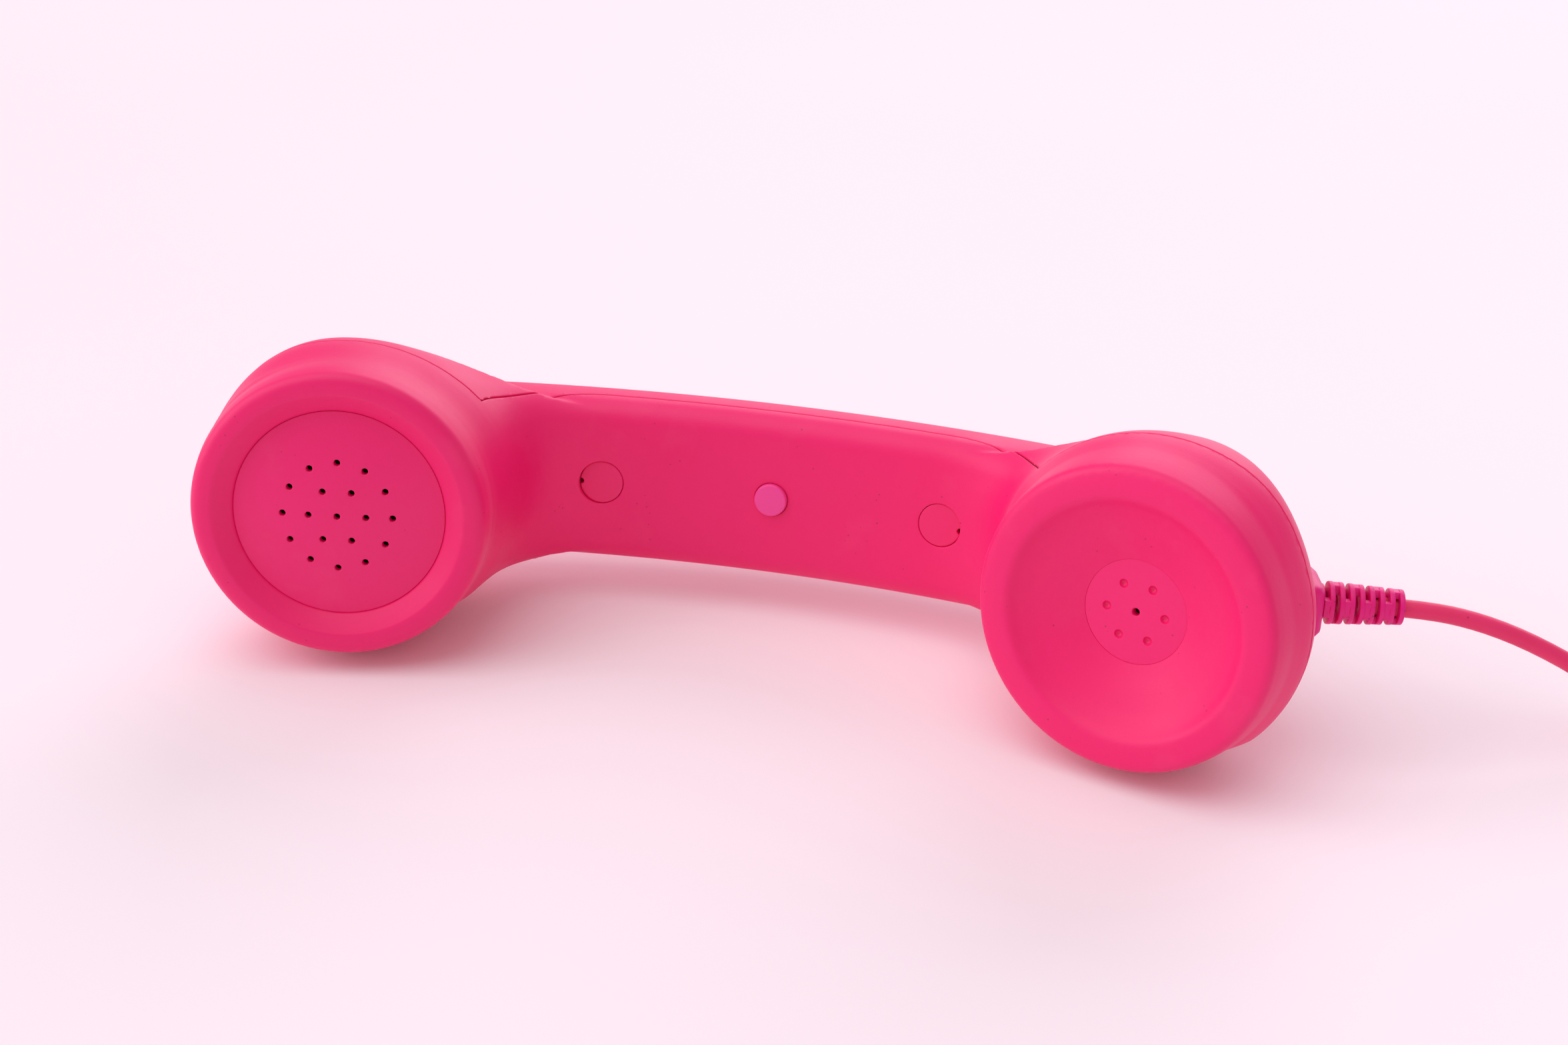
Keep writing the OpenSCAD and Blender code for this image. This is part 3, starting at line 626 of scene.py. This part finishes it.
def to_surface(field, p, rounds=3):
    """Moves points along the slope to the zero level."""
    for _ in range(rounds):
        g = gradient(field, p)
        p = p - g * (field(p) / np.maximum((g * g).sum(1), 0.05))[:, None]
    return p


def surface_net(field, low, high, step):
    """Quads around the zero level of a field on a regular grid: points and quads."""
    low = np.asarray(low, float)
    n = np.ceil((np.asarray(high) - low) / step).astype(int) + 1
    axes = [low[k] + step * np.arange(n[k]) for k in range(3)]
    far, coarse = 9.0, 4  # the field is worked out only in coarse cells near its zero level
    values = np.full(n, far)
    centres = np.stack(np.meshgrid(*(a[::coarse] + step * (coarse - 1) / 2 for a in axes), indexing="ij"), -1)
    rough = field(centres.reshape(-1, 3)).reshape(centres.shape[:3])
    near, within = np.abs(rough) < step * coarse * 1.6 + 1.5, rough < 0
    for k in range(3):
        near, within = np.repeat(near, coarse, k), np.repeat(within, coarse, k)
    near, within = (a[:n[0], :n[1], :n[2]] for a in (near, within))
    values[within] = -far
    i, j, k = np.nonzero(near)
    values[i, j, k] = field(np.stack([axes[0][i], axes[1][j], axes[2][k]], -1))
    neg = values < 0
    total, weight = np.zeros(tuple(n - 1) + (3,)), np.zeros(tuple(n - 1))
    quads = []
    ids = np.arange(np.prod(n - 1)).reshape(tuple(n - 1))
    for axis in range(3):
        a = [slice(None)] * 3
        b = [slice(None)] * 3
        a[axis], b[axis] = slice(0, -1), slice(1, None)
        va, vb = values[tuple(a)], values[tuple(b)]
        cross = neg[tuple(a)] != neg[tuple(b)]
        at = np.argwhere(cross)
        t = va[cross] / (va[cross] - vb[cross])
        point = at.astype(float)
        point[:, axis] += t
        u, v = (axis + 1) % 3, (axis + 2) % 3
        corners = []
        for du, dv in ((0, 0), (-1, 0), (-1, -1), (0, -1)):
            cell = at.copy()
            cell[:, u] += du
            cell[:, v] += dv
            corners.append(cell)
            np.add.at(total, tuple(cell.T), point)
            np.add.at(weight, tuple(cell.T), 1)
        quad = np.stack([ids[tuple(c.T)] for c in corners], 1)
        flip = neg[tuple(a)][cross]
        quads.append(np.where(flip[:, None], quad[:, ::-1], quad))
    quads = np.concatenate(quads)
    used, back = np.unique(quads, return_inverse=True)
    flat = total.reshape(-1, 3)[used] / weight.reshape(-1)[used][:, None]
    return low + flat * step, back.reshape(-1, 4)


def neighbours_mean(points, faces):
    """Mean of each point's neighbours along the faces' edges."""
    total, count = np.zeros_like(points), np.zeros(len(points))
    for k in range(faces.shape[1]):
        a, b = faces[:, k], faces[:, (k + 1) % faces.shape[1]]
        for s, e in ((a, b), (b, a)):
            np.add.at(total, s, points[e])
            np.add.at(count, s, 1)
    return total / np.maximum(count, 1)[:, None]


def relax(field, points, faces, fixed, rounds, share=0.5):
    """Evens out the points along the surface; fixed ones stay."""
    for _ in range(rounds):
        move = (neighbours_mean(points, faces) - points) * share
        n = unit(gradient(field, points))
        move -= (move * n).sum(1)[:, None] * n
        move[fixed] = 0
        points = points + move
        if (~fixed).any():
            points[~fixed] = to_surface(field, points[~fixed], 1)
    return points


def directed_edges(tris):
    return np.concatenate([tris[:, [0, 1]], tris[:, [1, 2]], tris[:, [2, 0]]])


def open_edges(tris):
    """Directed edges whose reverse is in no triangle."""
    e = directed_edges(tris)
    big = int(tris.max()) + 1
    there = np.unique(e[:, 0] * big + e[:, 1])
    back = e[:, 1] * big + e[:, 0]
    return e[~np.isin(back, there)]


def loops_of(edges):
    """Chains of directed edges as closed lists of points."""
    following = {int(a): int(b) for a, b in edges}
    loops = []
    while following:
        start = next(iter(following))
        loop = [start]
        at = following.pop(start)
        while at != start and at in following:
            loop.append(at)
            at = following.pop(at)
        loops.append(loop)
    return loops


def surface_depth(field, place, x, y, d):
    """Depth along a place's w axis where the field is zero."""
    for _ in range(6):
        p = place.out(x, y, d)
        f0 = field(p)
        slope = (field(place.out(x, y, d + 0.05)) - f0) / 0.05
        slope = np.where(np.abs(slope) < 0.2, 1.0, slope)
        d = d - np.clip(f0 / slope, -2, 2)
    return d


class Shell:
    """The body's outside as triangles, with the points that must not move any more."""

    def __init__(self, points, tris):
        self.p, self.t = points, tris
        self.fixed = np.zeros(len(points), bool)
        self.walls = []    # rings of four points each, for the walls of the openings
        self.closing = []  # each opening's edge on the skin and the last ring of its wall

    def grow(self, points):
        """Adds points that stay where they are, and gives their numbers."""
        start = len(self.p)
        self.p = np.concatenate([self.p, points])
        self.fixed = np.concatenate([self.fixed, np.ones(len(points), bool)])
        return np.arange(start, len(self.p))

    def open_round(self, field, place, radius, span, profile):
        """Cuts a round opening and carries its edge on along (radius, depth below the skin)."""
        x, y, d = place.local(self.p)
        gone = (np.hypot(x, y) < radius) & (d > span[0]) & (d < span[1])
        while True:
            tris = self.t[~gone[self.t].any(1)]
            edges = open_edges(tris)
            near = (np.hypot(x, y)[edges].max(1) < radius + 4) & (np.abs(d[edges] - np.mean(span)).max(1) < 12)
            edges = edges[near & ~self.fixed[edges].any(1)]
            starts, counts = np.unique(edges[:, 0], return_counts=True)
            if not (counts > 1).any():
                break
            gone[starts[counts > 1]] = True  # the edge touches itself there
        self.t = tris
        loop = np.array(max(loops_of(edges), key=len))
        angles = np.unwrap(np.arctan2(y[loop], x[loop]))
        way = np.sign(angles[-1] - angles[0])
        even = way * np.arange(len(loop)) * 2 * math.pi / len(loop)
        even += np.mean(angles - even)
        c, s = np.cos(even), np.sin(even)
        skin = surface_depth(field, place, radius * c, radius * s, d[loop])
        self.p[loop] = place.out(radius * c, radius * s, skin)
        self.fixed[loop] = True
        moving = (np.abs(np.hypot(x, y) - radius) < 7) & (d > span[0] - 6) & (d < span[1] + 4) & ~self.fixed
        self.p = relax_near(field, self.p, self.t, moving, 12)
        last = loop
        for r, below in profile:
            ids = self.grow(place.out(r * c, r * s, skin + below))
            self.walls.append((last, np.roll(last, -1), np.roll(ids, -1), ids))
            last = ids
        self.closing.append((loop, last))

    def opening_tris(self):
        out = []
        for a, b, c, d in self.walls:
            out += two_tris(b, a, d, c)
        return np.concatenate(out)


def relax_near(field, points, tris, moving, rounds):
    """Evens out the points marked moving, along the surface."""
    rows = tris[moving[tris].any(1)]
    ids = np.unique(rows)
    index = np.full(len(points), -1)
    index[ids] = np.arange(len(ids))
    local = points[ids].copy()
    local = relax(field, local, index[rows], ~moving[ids], rounds, 0.45)
    points = points.copy()
    points[ids] = local
    return points


# ---- seam between the front and the rear shell ----
def neck_centre(place, side, wall):
    """Centre of the fillet between a cup's wall and the handle's inner face."""
    p = place.o[:2] + side * (wall + NECK_R) * place.u[:2] - ARCH_C
    b = place.w[:2]
    k, rr = p @ b, ARCH_R - NECK_R
    return ARCH_C + p + b * (-k + math.sqrt(k * k - p @ p + rr * rr))


EAR_WALL_R, MOUTH_WALL_R = 29.1, 29.9
NECK_1 = neck_centre(EAR, 1, EAR_WALL_R)
NECK_2 = neck_centre(MOUTH, -1, MOUTH_WALL_R)
SEAM_REACH = 46.0  # a cup's part of the seam goes this far from its axis


def seam_distance(p):
    """Negative in front of the parting surface, positive behind it."""
    q = p[:, :2]
    arch = np.hypot(*(q - ARCH_C).T) - ARCH_R - SEAM
    for centre, side in ((NECK_1, 1), (NECK_2, -1)):
        a = (centre - ARCH_C) / np.linalg.norm(centre - ARCH_C)
        across = side * ((q - ARCH_C) @ np.array([-a[1], a[0]]))
        arch = np.maximum(arch, across)
    parts = [arch, np.hypot(*(q - NECK_1).T) - NECK_R - SEAM, np.hypot(*(q - NECK_2).T) - NECK_R - SEAM]
    for place, depth in ((EAR, EAR_SEAM), (MOUTH, MOUTH_SEAM)):
        x, _, d = place.local(p)
        parts.append(np.maximum(np.abs(x) - SEAM_REACH, d - depth))
    return np.min(parts, axis=0)


def to_seam(p, rounds=4):
    """Moves points onto the line where the seam meets the skin."""
    for _ in range(rounds):
        n = unit(gradient(body_distance, p))
        g = gradient(seam_distance, p)
        g -= (g * n).sum(1)[:, None] * n
        size = np.maximum((g * g).sum(1), 0.2)
        p = p - g * np.clip(seam_distance(p) / size, -0.6, 0.6)[:, None]
        p = to_surface(body_distance, p, 1)
    return p


def cut_at_seam(shell, step):
    """Splits the skin's triangles along the seam: the front ones, the rear ones and the seam's points."""
    s = seam_distance(shell.p)
    close = (np.abs(s) < 0.30 * step) & ~shell.fixed
    shell.p[close] = to_seam(shell.p[close])
    s = seam_distance(shell.p)
    s[close] = 0
    on_line = s == 0
    tris = shell.t
    new_ids = {}
    cross_a, cross_b = [], []

    def crossing(a, b):
        key = (min(a, b), max(a, b))
        if key not in new_ids:
            new_ids[key] = len(shell.p) + len(cross_a)
            cross_a.append(key[0])
            cross_b.append(key[1])
        return new_ids[key]

    st = s[tris]
    mixed = (st.min(1) < 0) & (st.max(1) > 0)
    front = tris[~mixed & (st.min(1) < 0)]
    rear = tris[~mixed & (st.min(1) >= 0)]
    f_new, r_new = [], []
    for row in tris[mixed]:
        v = [int(k) for k in row]
        sign = [0 if s[k] == 0 else (1 if s[k] > 0 else -1) for k in v]
        poly = {1: [], -1: []}
        for i in range(3):
            a, b = v[i], v[(i + 1) % 3]
            sa, sb = sign[i], sign[(i + 1) % 3]
            for side in (1, -1):
                if sa in (0, side):
                    poly[side].append(a)
            if sa * sb < 0:
                c = crossing(a, b)
                poly[1].append(c)
                poly[-1].append(c)
        for side, out in ((1, r_new), (-1, f_new)):
            ring = poly[side]
            for i in range(1, len(ring) - 1):
                out.append((ring[0], ring[i], ring[i + 1]))
    a, b = np.array(cross_a), np.array(cross_b)
    t = s[a] / (s[a] - s[b])
    made = to_seam(shell.p[a] + t[:, None] * (shell.p[b] - shell.p[a]))
    shell.grow(made)
    line = np.concatenate([on_line, np.ones(len(made), bool)])
    return np.concatenate([front, np.array(f_new)]), np.concatenate([rear, np.array(r_new)]), line


GAP, EDGE = 0.10, 0.24  # half the seam's gap, and how far its lips are rounded
LIP = ((0.45, 0.04), (0.12, 0.16), (0.0, 0.42), (0.0, WALL))  # (share of EDGE left, depth below the skin)


def thick_shell(points, tris, line, side, openings, opening_tris):
    """A closed shell: the skin, a rounded lip along the seam, the inside, and the openings' walls."""
    used = np.unique(tris)
    outline = open_edges(tris)
    lip = outline[line[outline].all(1)]
    lip_ids = np.unique(lip)
    n = np.zeros_like(points)
    n[used] = unit(gradient(body_distance, points[used], 0.3))
    g = gradient(seam_distance, points[lip_ids], 0.3)
    g -= (g * n[lip_ids]).sum(1)[:, None] * n[lip_ids]
    aside = unit(g) * side
    base = points[lip_ids].copy()
    points = points.copy()
    points[lip_ids] = base + aside * (GAP + EDGE)
    rings = [np.full(len(points), -1)]
    rings[0][lip_ids] = lip_ids
    total = len(points)
    p = [points]
    for across, down in LIP:
        ring = np.full(len(points), -1)
        ring[lip_ids] = total + np.arange(len(lip_ids))
        p.append(base + aside * (GAP + EDGE * across) - n[lip_ids] * down)
        total += len(lip_ids)
        rings.append(ring)
    inner = np.full(len(points), -1)
    rest = np.setdiff1d(used, lip_ids)
    inner[rest] = total + np.arange(len(rest))
    inner[lip_ids] = rings[-1][lip_ids]
    p.append(points[rest] - n[rest] * WALL)
    faces = [tris, inner[tris][:, ::-1]]
    for r0, r1 in zip(rings, rings[1:]):
        a, b = lip[:, 0], lip[:, 1]
        faces += two_tris(r0[b], r0[a], r1[a], r1[b])
    if openings:
        faces.append(opening_tris)
        for loop, last in openings:
            faces += two_tris(np.roll(last, -1), last, inner[loop], inner[np.roll(loop, -1)])
    return np.concatenate(p), np.concatenate(faces)


EAR_DISC_R, MOUTH_DISC_R = 20.4, 9.9
EAR_EDGE_R, DISH_R = 25.2, 25.4  # where the skin is cut open inside each rim
CAP_R, BUTTON_R = 4.4, 3.4
NET_STEP = 0.8


def from_crest(crest_depth, outline):
    """(radius, depth) points as depths below the crest."""
    return [(r, d - crest_depth) for r, d in outline]


def make_shells():
    """Front and rear mouldings of the body."""
    points, quads = surface_net(body_distance, (-112, -16, -34), (112, 66, 34), NET_STEP)
    points = to_surface(body_distance, points, 3)
    points = relax(body_distance, points, quads, np.zeros(len(points), bool), 5)
    shell = Shell(points, np.concatenate(two_tris(*quads.T)))
    ear_edge = [(EAR_EDGE_R, EAR_CREST), (24.3, EAR_CREST), (EAR_DISC_R + 0.05, 0.0), (EAR_DISC_R + 0.03, 1.7)]
    ear_edge = rounded(ear_edge, 0.7, 4)[1:] + [(18.4, 1.7), (18.4, 3.6), (22.6, 3.6), (24.9, 1.2)]
    shell.open_round(body_distance, EAR, EAR_EDGE_R, (-6, 4), from_crest(EAR_CREST, ear_edge))
    dish = [(DISH_R, MOUTH_CREST), (22.9, MOUTH_CREST), (21.2, -4.95), (18.6, -3.45), (16.4, -2.5), (14.2, -1.6),
            (12.1, -0.72), (MOUTH_DISC_R + 0.05, 0.05)]
    dish = rounded(dish, 0.9, 3)[1:] + [(MOUTH_DISC_R + 0.03, 1.7), (8.2, 1.7), (8.2, 3.6), (14.2, 1.2), (20, -1.6),
                                        (24.4, -3.9)]
    shell.open_round(body_distance, MOUTH, DISH_R, (-10, 1), from_crest(MOUTH_CREST, dish))
    for place in (CAP_1, CAP_2):
        walls = [(CAP_R + 0.18, 0.02), (CAP_R + 0.11, 0.09), (CAP_R + 0.10, 0.25), (CAP_R + 0.10, 3.4), (3.1, 3.4),
                 (3.1, 4.2), (5.0, 4.2)]
        shell.open_round(body_distance, place, CAP_R + 0.28, (-3, 3), walls)
    walls = [(BUTTON_R + 0.14, 0.02), (BUTTON_R + 0.07, 0.09), (BUTTON_R + 0.06, 0.25), (BUTTON_R + 0.06, WALL)]
    shell.open_round(body_distance, BUTTON, BUTTON_R + 0.24, (-3, 3), walls)
    front, rear, line = cut_at_seam(shell, NET_STEP)
    p, f = thick_shell(shell.p, front, line, -1, shell.closing, shell.opening_tris())
    piece("front_moulding", p, f, shell_mat, "handset", ["front_shell"], 50)
    p, f = thick_shell(shell.p, rear, line, 1, [], None)
    piece("rear_moulding", p, f, shell_mat, "handset", ["rear_shell"], 50)


make_shells()


# ---- discs, caps and button ----
def circle(cx, cy, r, n, start=0.0):
    a = start + np.arange(n) * 2 * math.pi / n
    return np.stack([cx + r * np.cos(a), cy + r * np.sin(a)], 1)


ROW = 0.866  # distance between the rows of a triangular grid, in pitches
HOLE_EDGE = 0.16
BACK_LEAST = 0.3  # a plate is at least this thick under its dimples


def plate(name, place, outline, holes, dimples, top, thick, material, stands_for, edge=0.22, pitch=1.2):
    """A moulded plate with a rounded rim, through holes and shallow dimples, as (x, y, radius) lists."""
    pts, loops = [], []

    def add(ring, constrain=True):
        start = sum(len(q) for q in pts)
        pts.append(ring)
        if constrain:
            loops.append(list(range(start, start + len(ring))))

    size = np.linalg.norm(outline, axis=1)
    add(outline)
    add(outline * (1 - edge * 0.45 / size)[:, None])
    add(outline * (1 - edge / size)[:, None])
    add(outline * (1 - 2.4 * edge / size)[:, None])
    for x, y, r in holes:
        for more in (0.0, 0.07, HOLE_EDGE, 0.40):
            add(circle(x, y, r + more, 24))
    for x, y, r in dimples:
        for share in (1.25, 1.08, 0.96, 0.8, 0.55, 0.28):
            add(circle(x, y, r * share, 24))
        add(np.array([[x, y]]), False)
    reach = size.max()
    grid = []
    rows = int(reach / (pitch * ROW)) + 1
    for j in range(-rows, rows + 1):
        for i in range(-rows * 2, rows * 2 + 1):
            q = np.array([(i + 0.5 * (j % 2)) * pitch, j * pitch * ROW])
            inner = np.hypot(*q) < size.min() - 3.2 * edge
            clear = all(np.hypot(q[0] - x, q[1] - y) > r * 1.25 + 0.55 for x, y, r in [*holes, *dimples])
            if inner and clear:
                grid.append(q)
    if grid:
        add(np.array(grid), False)
    flat = np.concatenate(pts)
    edges = [(a, b) for loop in loops for a, b in zip(loop, loop[1:] + loop[:1])]
    got = delaunay_2d_cdt([Vector(q) for q in flat], edges, [], 0, 1e-7)
    xy = np.array([tuple(v) for v in got[0]])
    tri = np.array([f for f in got[2] if len(f) == 3])
    mid = xy[tri].mean(1)
    keep = inside(mid, outline)
    for x, y, r in holes:
        keep &= np.hypot(mid[:, 0] - x, mid[:, 1] - y) > r * 0.97
    tri = tri[keep]
    area = np.cross(xy[tri[:, 1]] - xy[tri[:, 0]], xy[tri[:, 2]] - xy[tri[:, 0]])
    tri = np.where(area[:, None] > 0, tri, tri[:, ::-1])
    depth = top(np.hypot(*xy.T))
    gap = np.min(np.hypot(*(xy[:, None] - outline[None]).transpose(2, 0, 1)), axis=1)
    depth = depth + edge_drop(gap, edge)
    for x, y, r in holes:
        depth = depth + edge_drop(np.hypot(xy[:, 0] - x, xy[:, 1] - y) - r, HOLE_EDGE)
    for x, y, r in dimples:
        q = np.hypot(xy[:, 0] - x, xy[:, 1] - y) / r
        depth = depth + 0.95 * r * np.clip(1 - q * q, 0, 1) ** 0.5
        depth = depth + 0.05 * np.clip(1.25 - q, 0, 0.25)
    front = place.out(xy[:, 0], xy[:, 1], depth)
    back = place.out(xy[:, 0], xy[:, 1], np.maximum(top(np.hypot(*xy.T)) + thick, depth + BACK_LEAST))
    start, end = open_edges(tri).T
    n = len(xy)
    faces = [tri, tri[:, ::-1] + n, *two_tris(end, start, start + n, end + n)]
    piece(name, np.concatenate([front, back]), np.concatenate(faces), material, "handset", stands_for, 50)


def inside(q, outline):
    """Which points lie inside a closed outline."""
    x, y = q[:, 0], q[:, 1]
    hit = np.zeros(len(q), bool)
    for a, b in zip(outline, np.roll(outline, -1, 0)):
        if a[1] != b[1]:
            hit ^= ((a[1] > y) != (b[1] > y)) & (x < (b[0] - a[0]) * (y - a[1]) / (b[1] - a[1]) + a[0])
    return hit


def edge_drop(gap, r):
    """How far a rounded edge of radius r falls at a distance from the rim."""
    t = np.clip(gap / r, 0, 1)
    return r * (1 - np.sqrt(1 - (1 - t) ** 2))


def ring_spots(r, n, radius, start=0.0):
    return [(x, y, radius) for x, y in circle(0, 0, r, n, start)]


def make_discs():
    """The ear disc, a low dome with 19 holes, and the flat mouth disc with one hole and six dimples."""
    dome, hole_r = 2.2, 0.65
    dome_r = (EAR_DISC_R ** 2 + dome ** 2) / (2 * dome)
    holes = [(0, 0, hole_r)] + ring_spots(5.55, 6, hole_r) + ring_spots(10.62, 12, hole_r)
    plate("ear_disc", EAR, circle(0, 0, EAR_DISC_R + 0.06, 160), holes, [],
          lambda r: dome_r - dome - np.sqrt(dome_r ** 2 - r ** 2), 1.5, disc_mat, ["ear_grille"], edge=0.09)
    plate("mouth_disc", MOUTH, circle(0, 0, MOUTH_DISC_R + 0.06, 96), [(0, 0, 0.75)], ring_spots(5.66, 6, 0.8),
          np.zeros_like, 1.7, disc_mat, ["mouth_grille"], edge=0.10, pitch=0.9)


make_discs()


def make_caps():
    """Round covers over the two body screws, each with a pry notch at its edge."""
    notch, bite = 0.62, CAP_R - 0.12
    half = math.acos((CAP_R ** 2 + bite ** 2 - notch ** 2) / (2 * CAP_R * bite))
    for k, (place, turn) in enumerate(((CAP_1, math.pi), (CAP_2, math.radians(8)))):
        a = np.linspace(half, 2 * math.pi - half, 90)
        rim = np.stack([CAP_R * np.cos(a), CAP_R * np.sin(a)], 1)
        end = math.atan2(CAP_R * math.sin(half), CAP_R * math.cos(half) - bite)
        b = np.linspace(-end, end - 2 * math.pi, 15)[1:-1]
        cut = np.stack([bite + notch * np.cos(b), notch * np.sin(b)], 1)
        outline = np.concatenate([rim, cut])
        c, s = math.cos(turn), math.sin(turn)
        outline = outline @ np.array([[c, s], [-s, c]])
        stands = ["screw_caps"] if k == 0 else []
        plate(f"cap_{k + 1}", place, outline, [], [], lambda r: -0.12 + 0.004 * r * r, 1.6, cap_mat, stands, edge=0.16,
              pitch=0.8)


make_caps()


def make_button():
    outline = [(0, -1.06), (1.4, -1.05), (2.5, -1.0), (BUTTON_R - 0.1, -0.93), (BUTTON_R - 0.03, 0.2),
               (BUTTON_R - 0.03, 1.9), (4.4, 2.35), (4.4, 3.0), (0, 3.0)]
    profile = rounded(outline, 0.34, 5)
    p, f = revolve(BUTTON, profile, 72)
    piece("call_button_cap", p, f, button_mat, "call_button", ["button"], 50)


make_button()


# ---- strain relief ----
RINGS, RING_PITCH, RING_START, RING_THICK = 8, 1.84, 5.5, 0.98
FIRST_R, LAST_R = 4.0, 3.3  # the ribs get smaller towards the cord
FLANGE_HALF, FLANGE_CORNER = (6.6, 5), (1.6, 1.2)


def stacked(n, layers):
    """Faces of a closed solid made of layers of n points each."""
    faces = [[k * n + i, k * n + (i + 1) % n, (k + 1) * n + (i + 1) % n, (k + 1) * n + i]
             for k in range(layers - 1) for i in range(n)]
    return faces + [list(range(n))[::-1], list(range((layers - 1) * n, layers * n))]


def block(place, x0, x1, y0, y1, z0, z1, bevel=0.25):
    """A box with rounded long edges between depths z0 and z1."""
    corners = [(x1 - bevel, y1 - bevel, 0), (x0 + bevel, y1 - bevel, 90), (x0 + bevel, y0 + bevel, 180),
               (x1 - bevel, y0 + bevel, 270)]
    ring = [q for cx, cy, a in corners for q in arc(cx, cy, bevel, a, a + 90, 3)]
    return [place.out(x, y, z) for z in (z0, z1) for x, y in ring], stacked(len(ring), 2)


def flange():
    """The wedge-faced block that seats in the mouthpiece."""
    ring = []
    (wide, high), (rx, ry) = FLANGE_HALF, FLANGE_CORNER
    for sx, sy, start in ((1, 1, 0), (-1, 1, 90), (-1, -1, 180), (1, -1, 270)):
        turns = [math.radians(start + 90 * i / 5) for i in range(6)]
        ring += [(sx * (wide - rx) + rx * math.cos(a), sy * (high - ry) + ry * math.sin(a)) for a in turns]
    layers = [(1.0, -2.5), (1.0, 2.6), (0.97, 3.1), (0.86, 3.9), (0.80, 4.05)]
    points = [RELIEF.out(x * scale, y * scale, z) for scale, z in layers for x, y in ring]
    return points, stacked(len(ring), len(layers))


def make_relief():
    """Slotted strain relief: round ribs joined by pairs of bridges that alternate from side to side."""
    core = CORD_D / 2 + 0.06
    parts = [flange()]
    parts.append(revolve(RELIEF, rounded([(core, 3.6), (3.5, 3.6), (3.5, 4.7), (core, 4.7)], 0.15, 2), 40, True))
    for i in range(RINGS):
        r = FIRST_R - (FIRST_R - LAST_R) * i / (RINGS - 1)
        z = RING_START + i * RING_PITCH
        end = z + RING_THICK
        parts.append(revolve(RELIEF, rounded([(core, z), (r, z), (r, end), (core, end)], 0.24, 4), 56, True))
        low, high = z - RING_PITCH + 0.9, z + 0.2
        for s in (-1, 1):
            a, b = sorted((s * (core + 0.05), s * (r - 0.12)))
            if i % 2:
                parts.append(block(RELIEF, -1.15, 1.15, a, b, low, high))
            else:
                parts.append(block(RELIEF, a, b, -1.7, 1.7, low, high))
    points, faces = joined(*parts)
    piece("cord_relief", points, faces, relief_mat, "handset", ["strain_relief"], 40)


make_relief()

# ---- CAD nodes that stay ----
SLOTS = {s["node"]: s["material_slot"] for s in frame["record"]["subparts"]}
for node, obj in frame["nodes"].items():
    obj.data.materials.clear()
    obj.data.materials.append(SLOT_MATS[SLOTS[node]])


# ---- floor and light ----
def make_floor():
    mesh = bpy.data.meshes.new("floor")
    r = 6.0  # half its width, in metres
    mesh.from_pydata([(-r, -r, 0), (r, -r, 0), (r, r, 0), (-r, r, 0)], [], [(0, 1, 2, 3)])
    m = Mat("floor_card", srgb(252, 240, 247), 0.7, Specular_IOR_Level=0.25)
    tone = m.ramp(m.noise(3.0, 2.0), 0.3, 0.7)
    m.colour(m.mix(tone, srgb(252, 239, 247), srgb(250, 236, 244)))
    m.bump(m.noise(900, 2.0), 0.05, 0.0001)
    mesh.materials.append(m.m)
    new_object("floor", mesh)


def far_light(name, toward, power, degrees, colour):
    """A large even light far away in the direction given, seen under an angle."""
    light = bpy.data.lights.new(name, "SUN")
    light.energy, light.angle, light.color = power, math.radians(degrees), colour
    obj = new_object(name, light)
    obj.rotation_mode = "QUATERNION"
    obj.rotation_quaternion = Vector(toward).to_track_quat("Z", "Y")


def make_light():
    world = bpy.data.worlds.new("studio")
    bpy.context.scene.world = world
    world.use_nodes = True
    back = world.node_tree.nodes["Background"]
    back.inputs[0].default_value = (1.0, 0.98, 0.975, 1)
    back.inputs[1].default_value = 0.47
    far_light("key_above", (-0.20, -0.12, 0.95), 1.0, 60, (0.98, 1.0, 0.985))
    far_light("fill_left", (-0.90, -0.30, 0.45), 1.0, 50, (1.0, 0.87, 0.98))
    far_light("rim_back", (0.15, 0.85, 0.42), 1.1, 50, (1.0, 0.88, 1.0))
    bpy.context.scene.view_settings.view_transform = "Standard"


make_floor()
make_light()
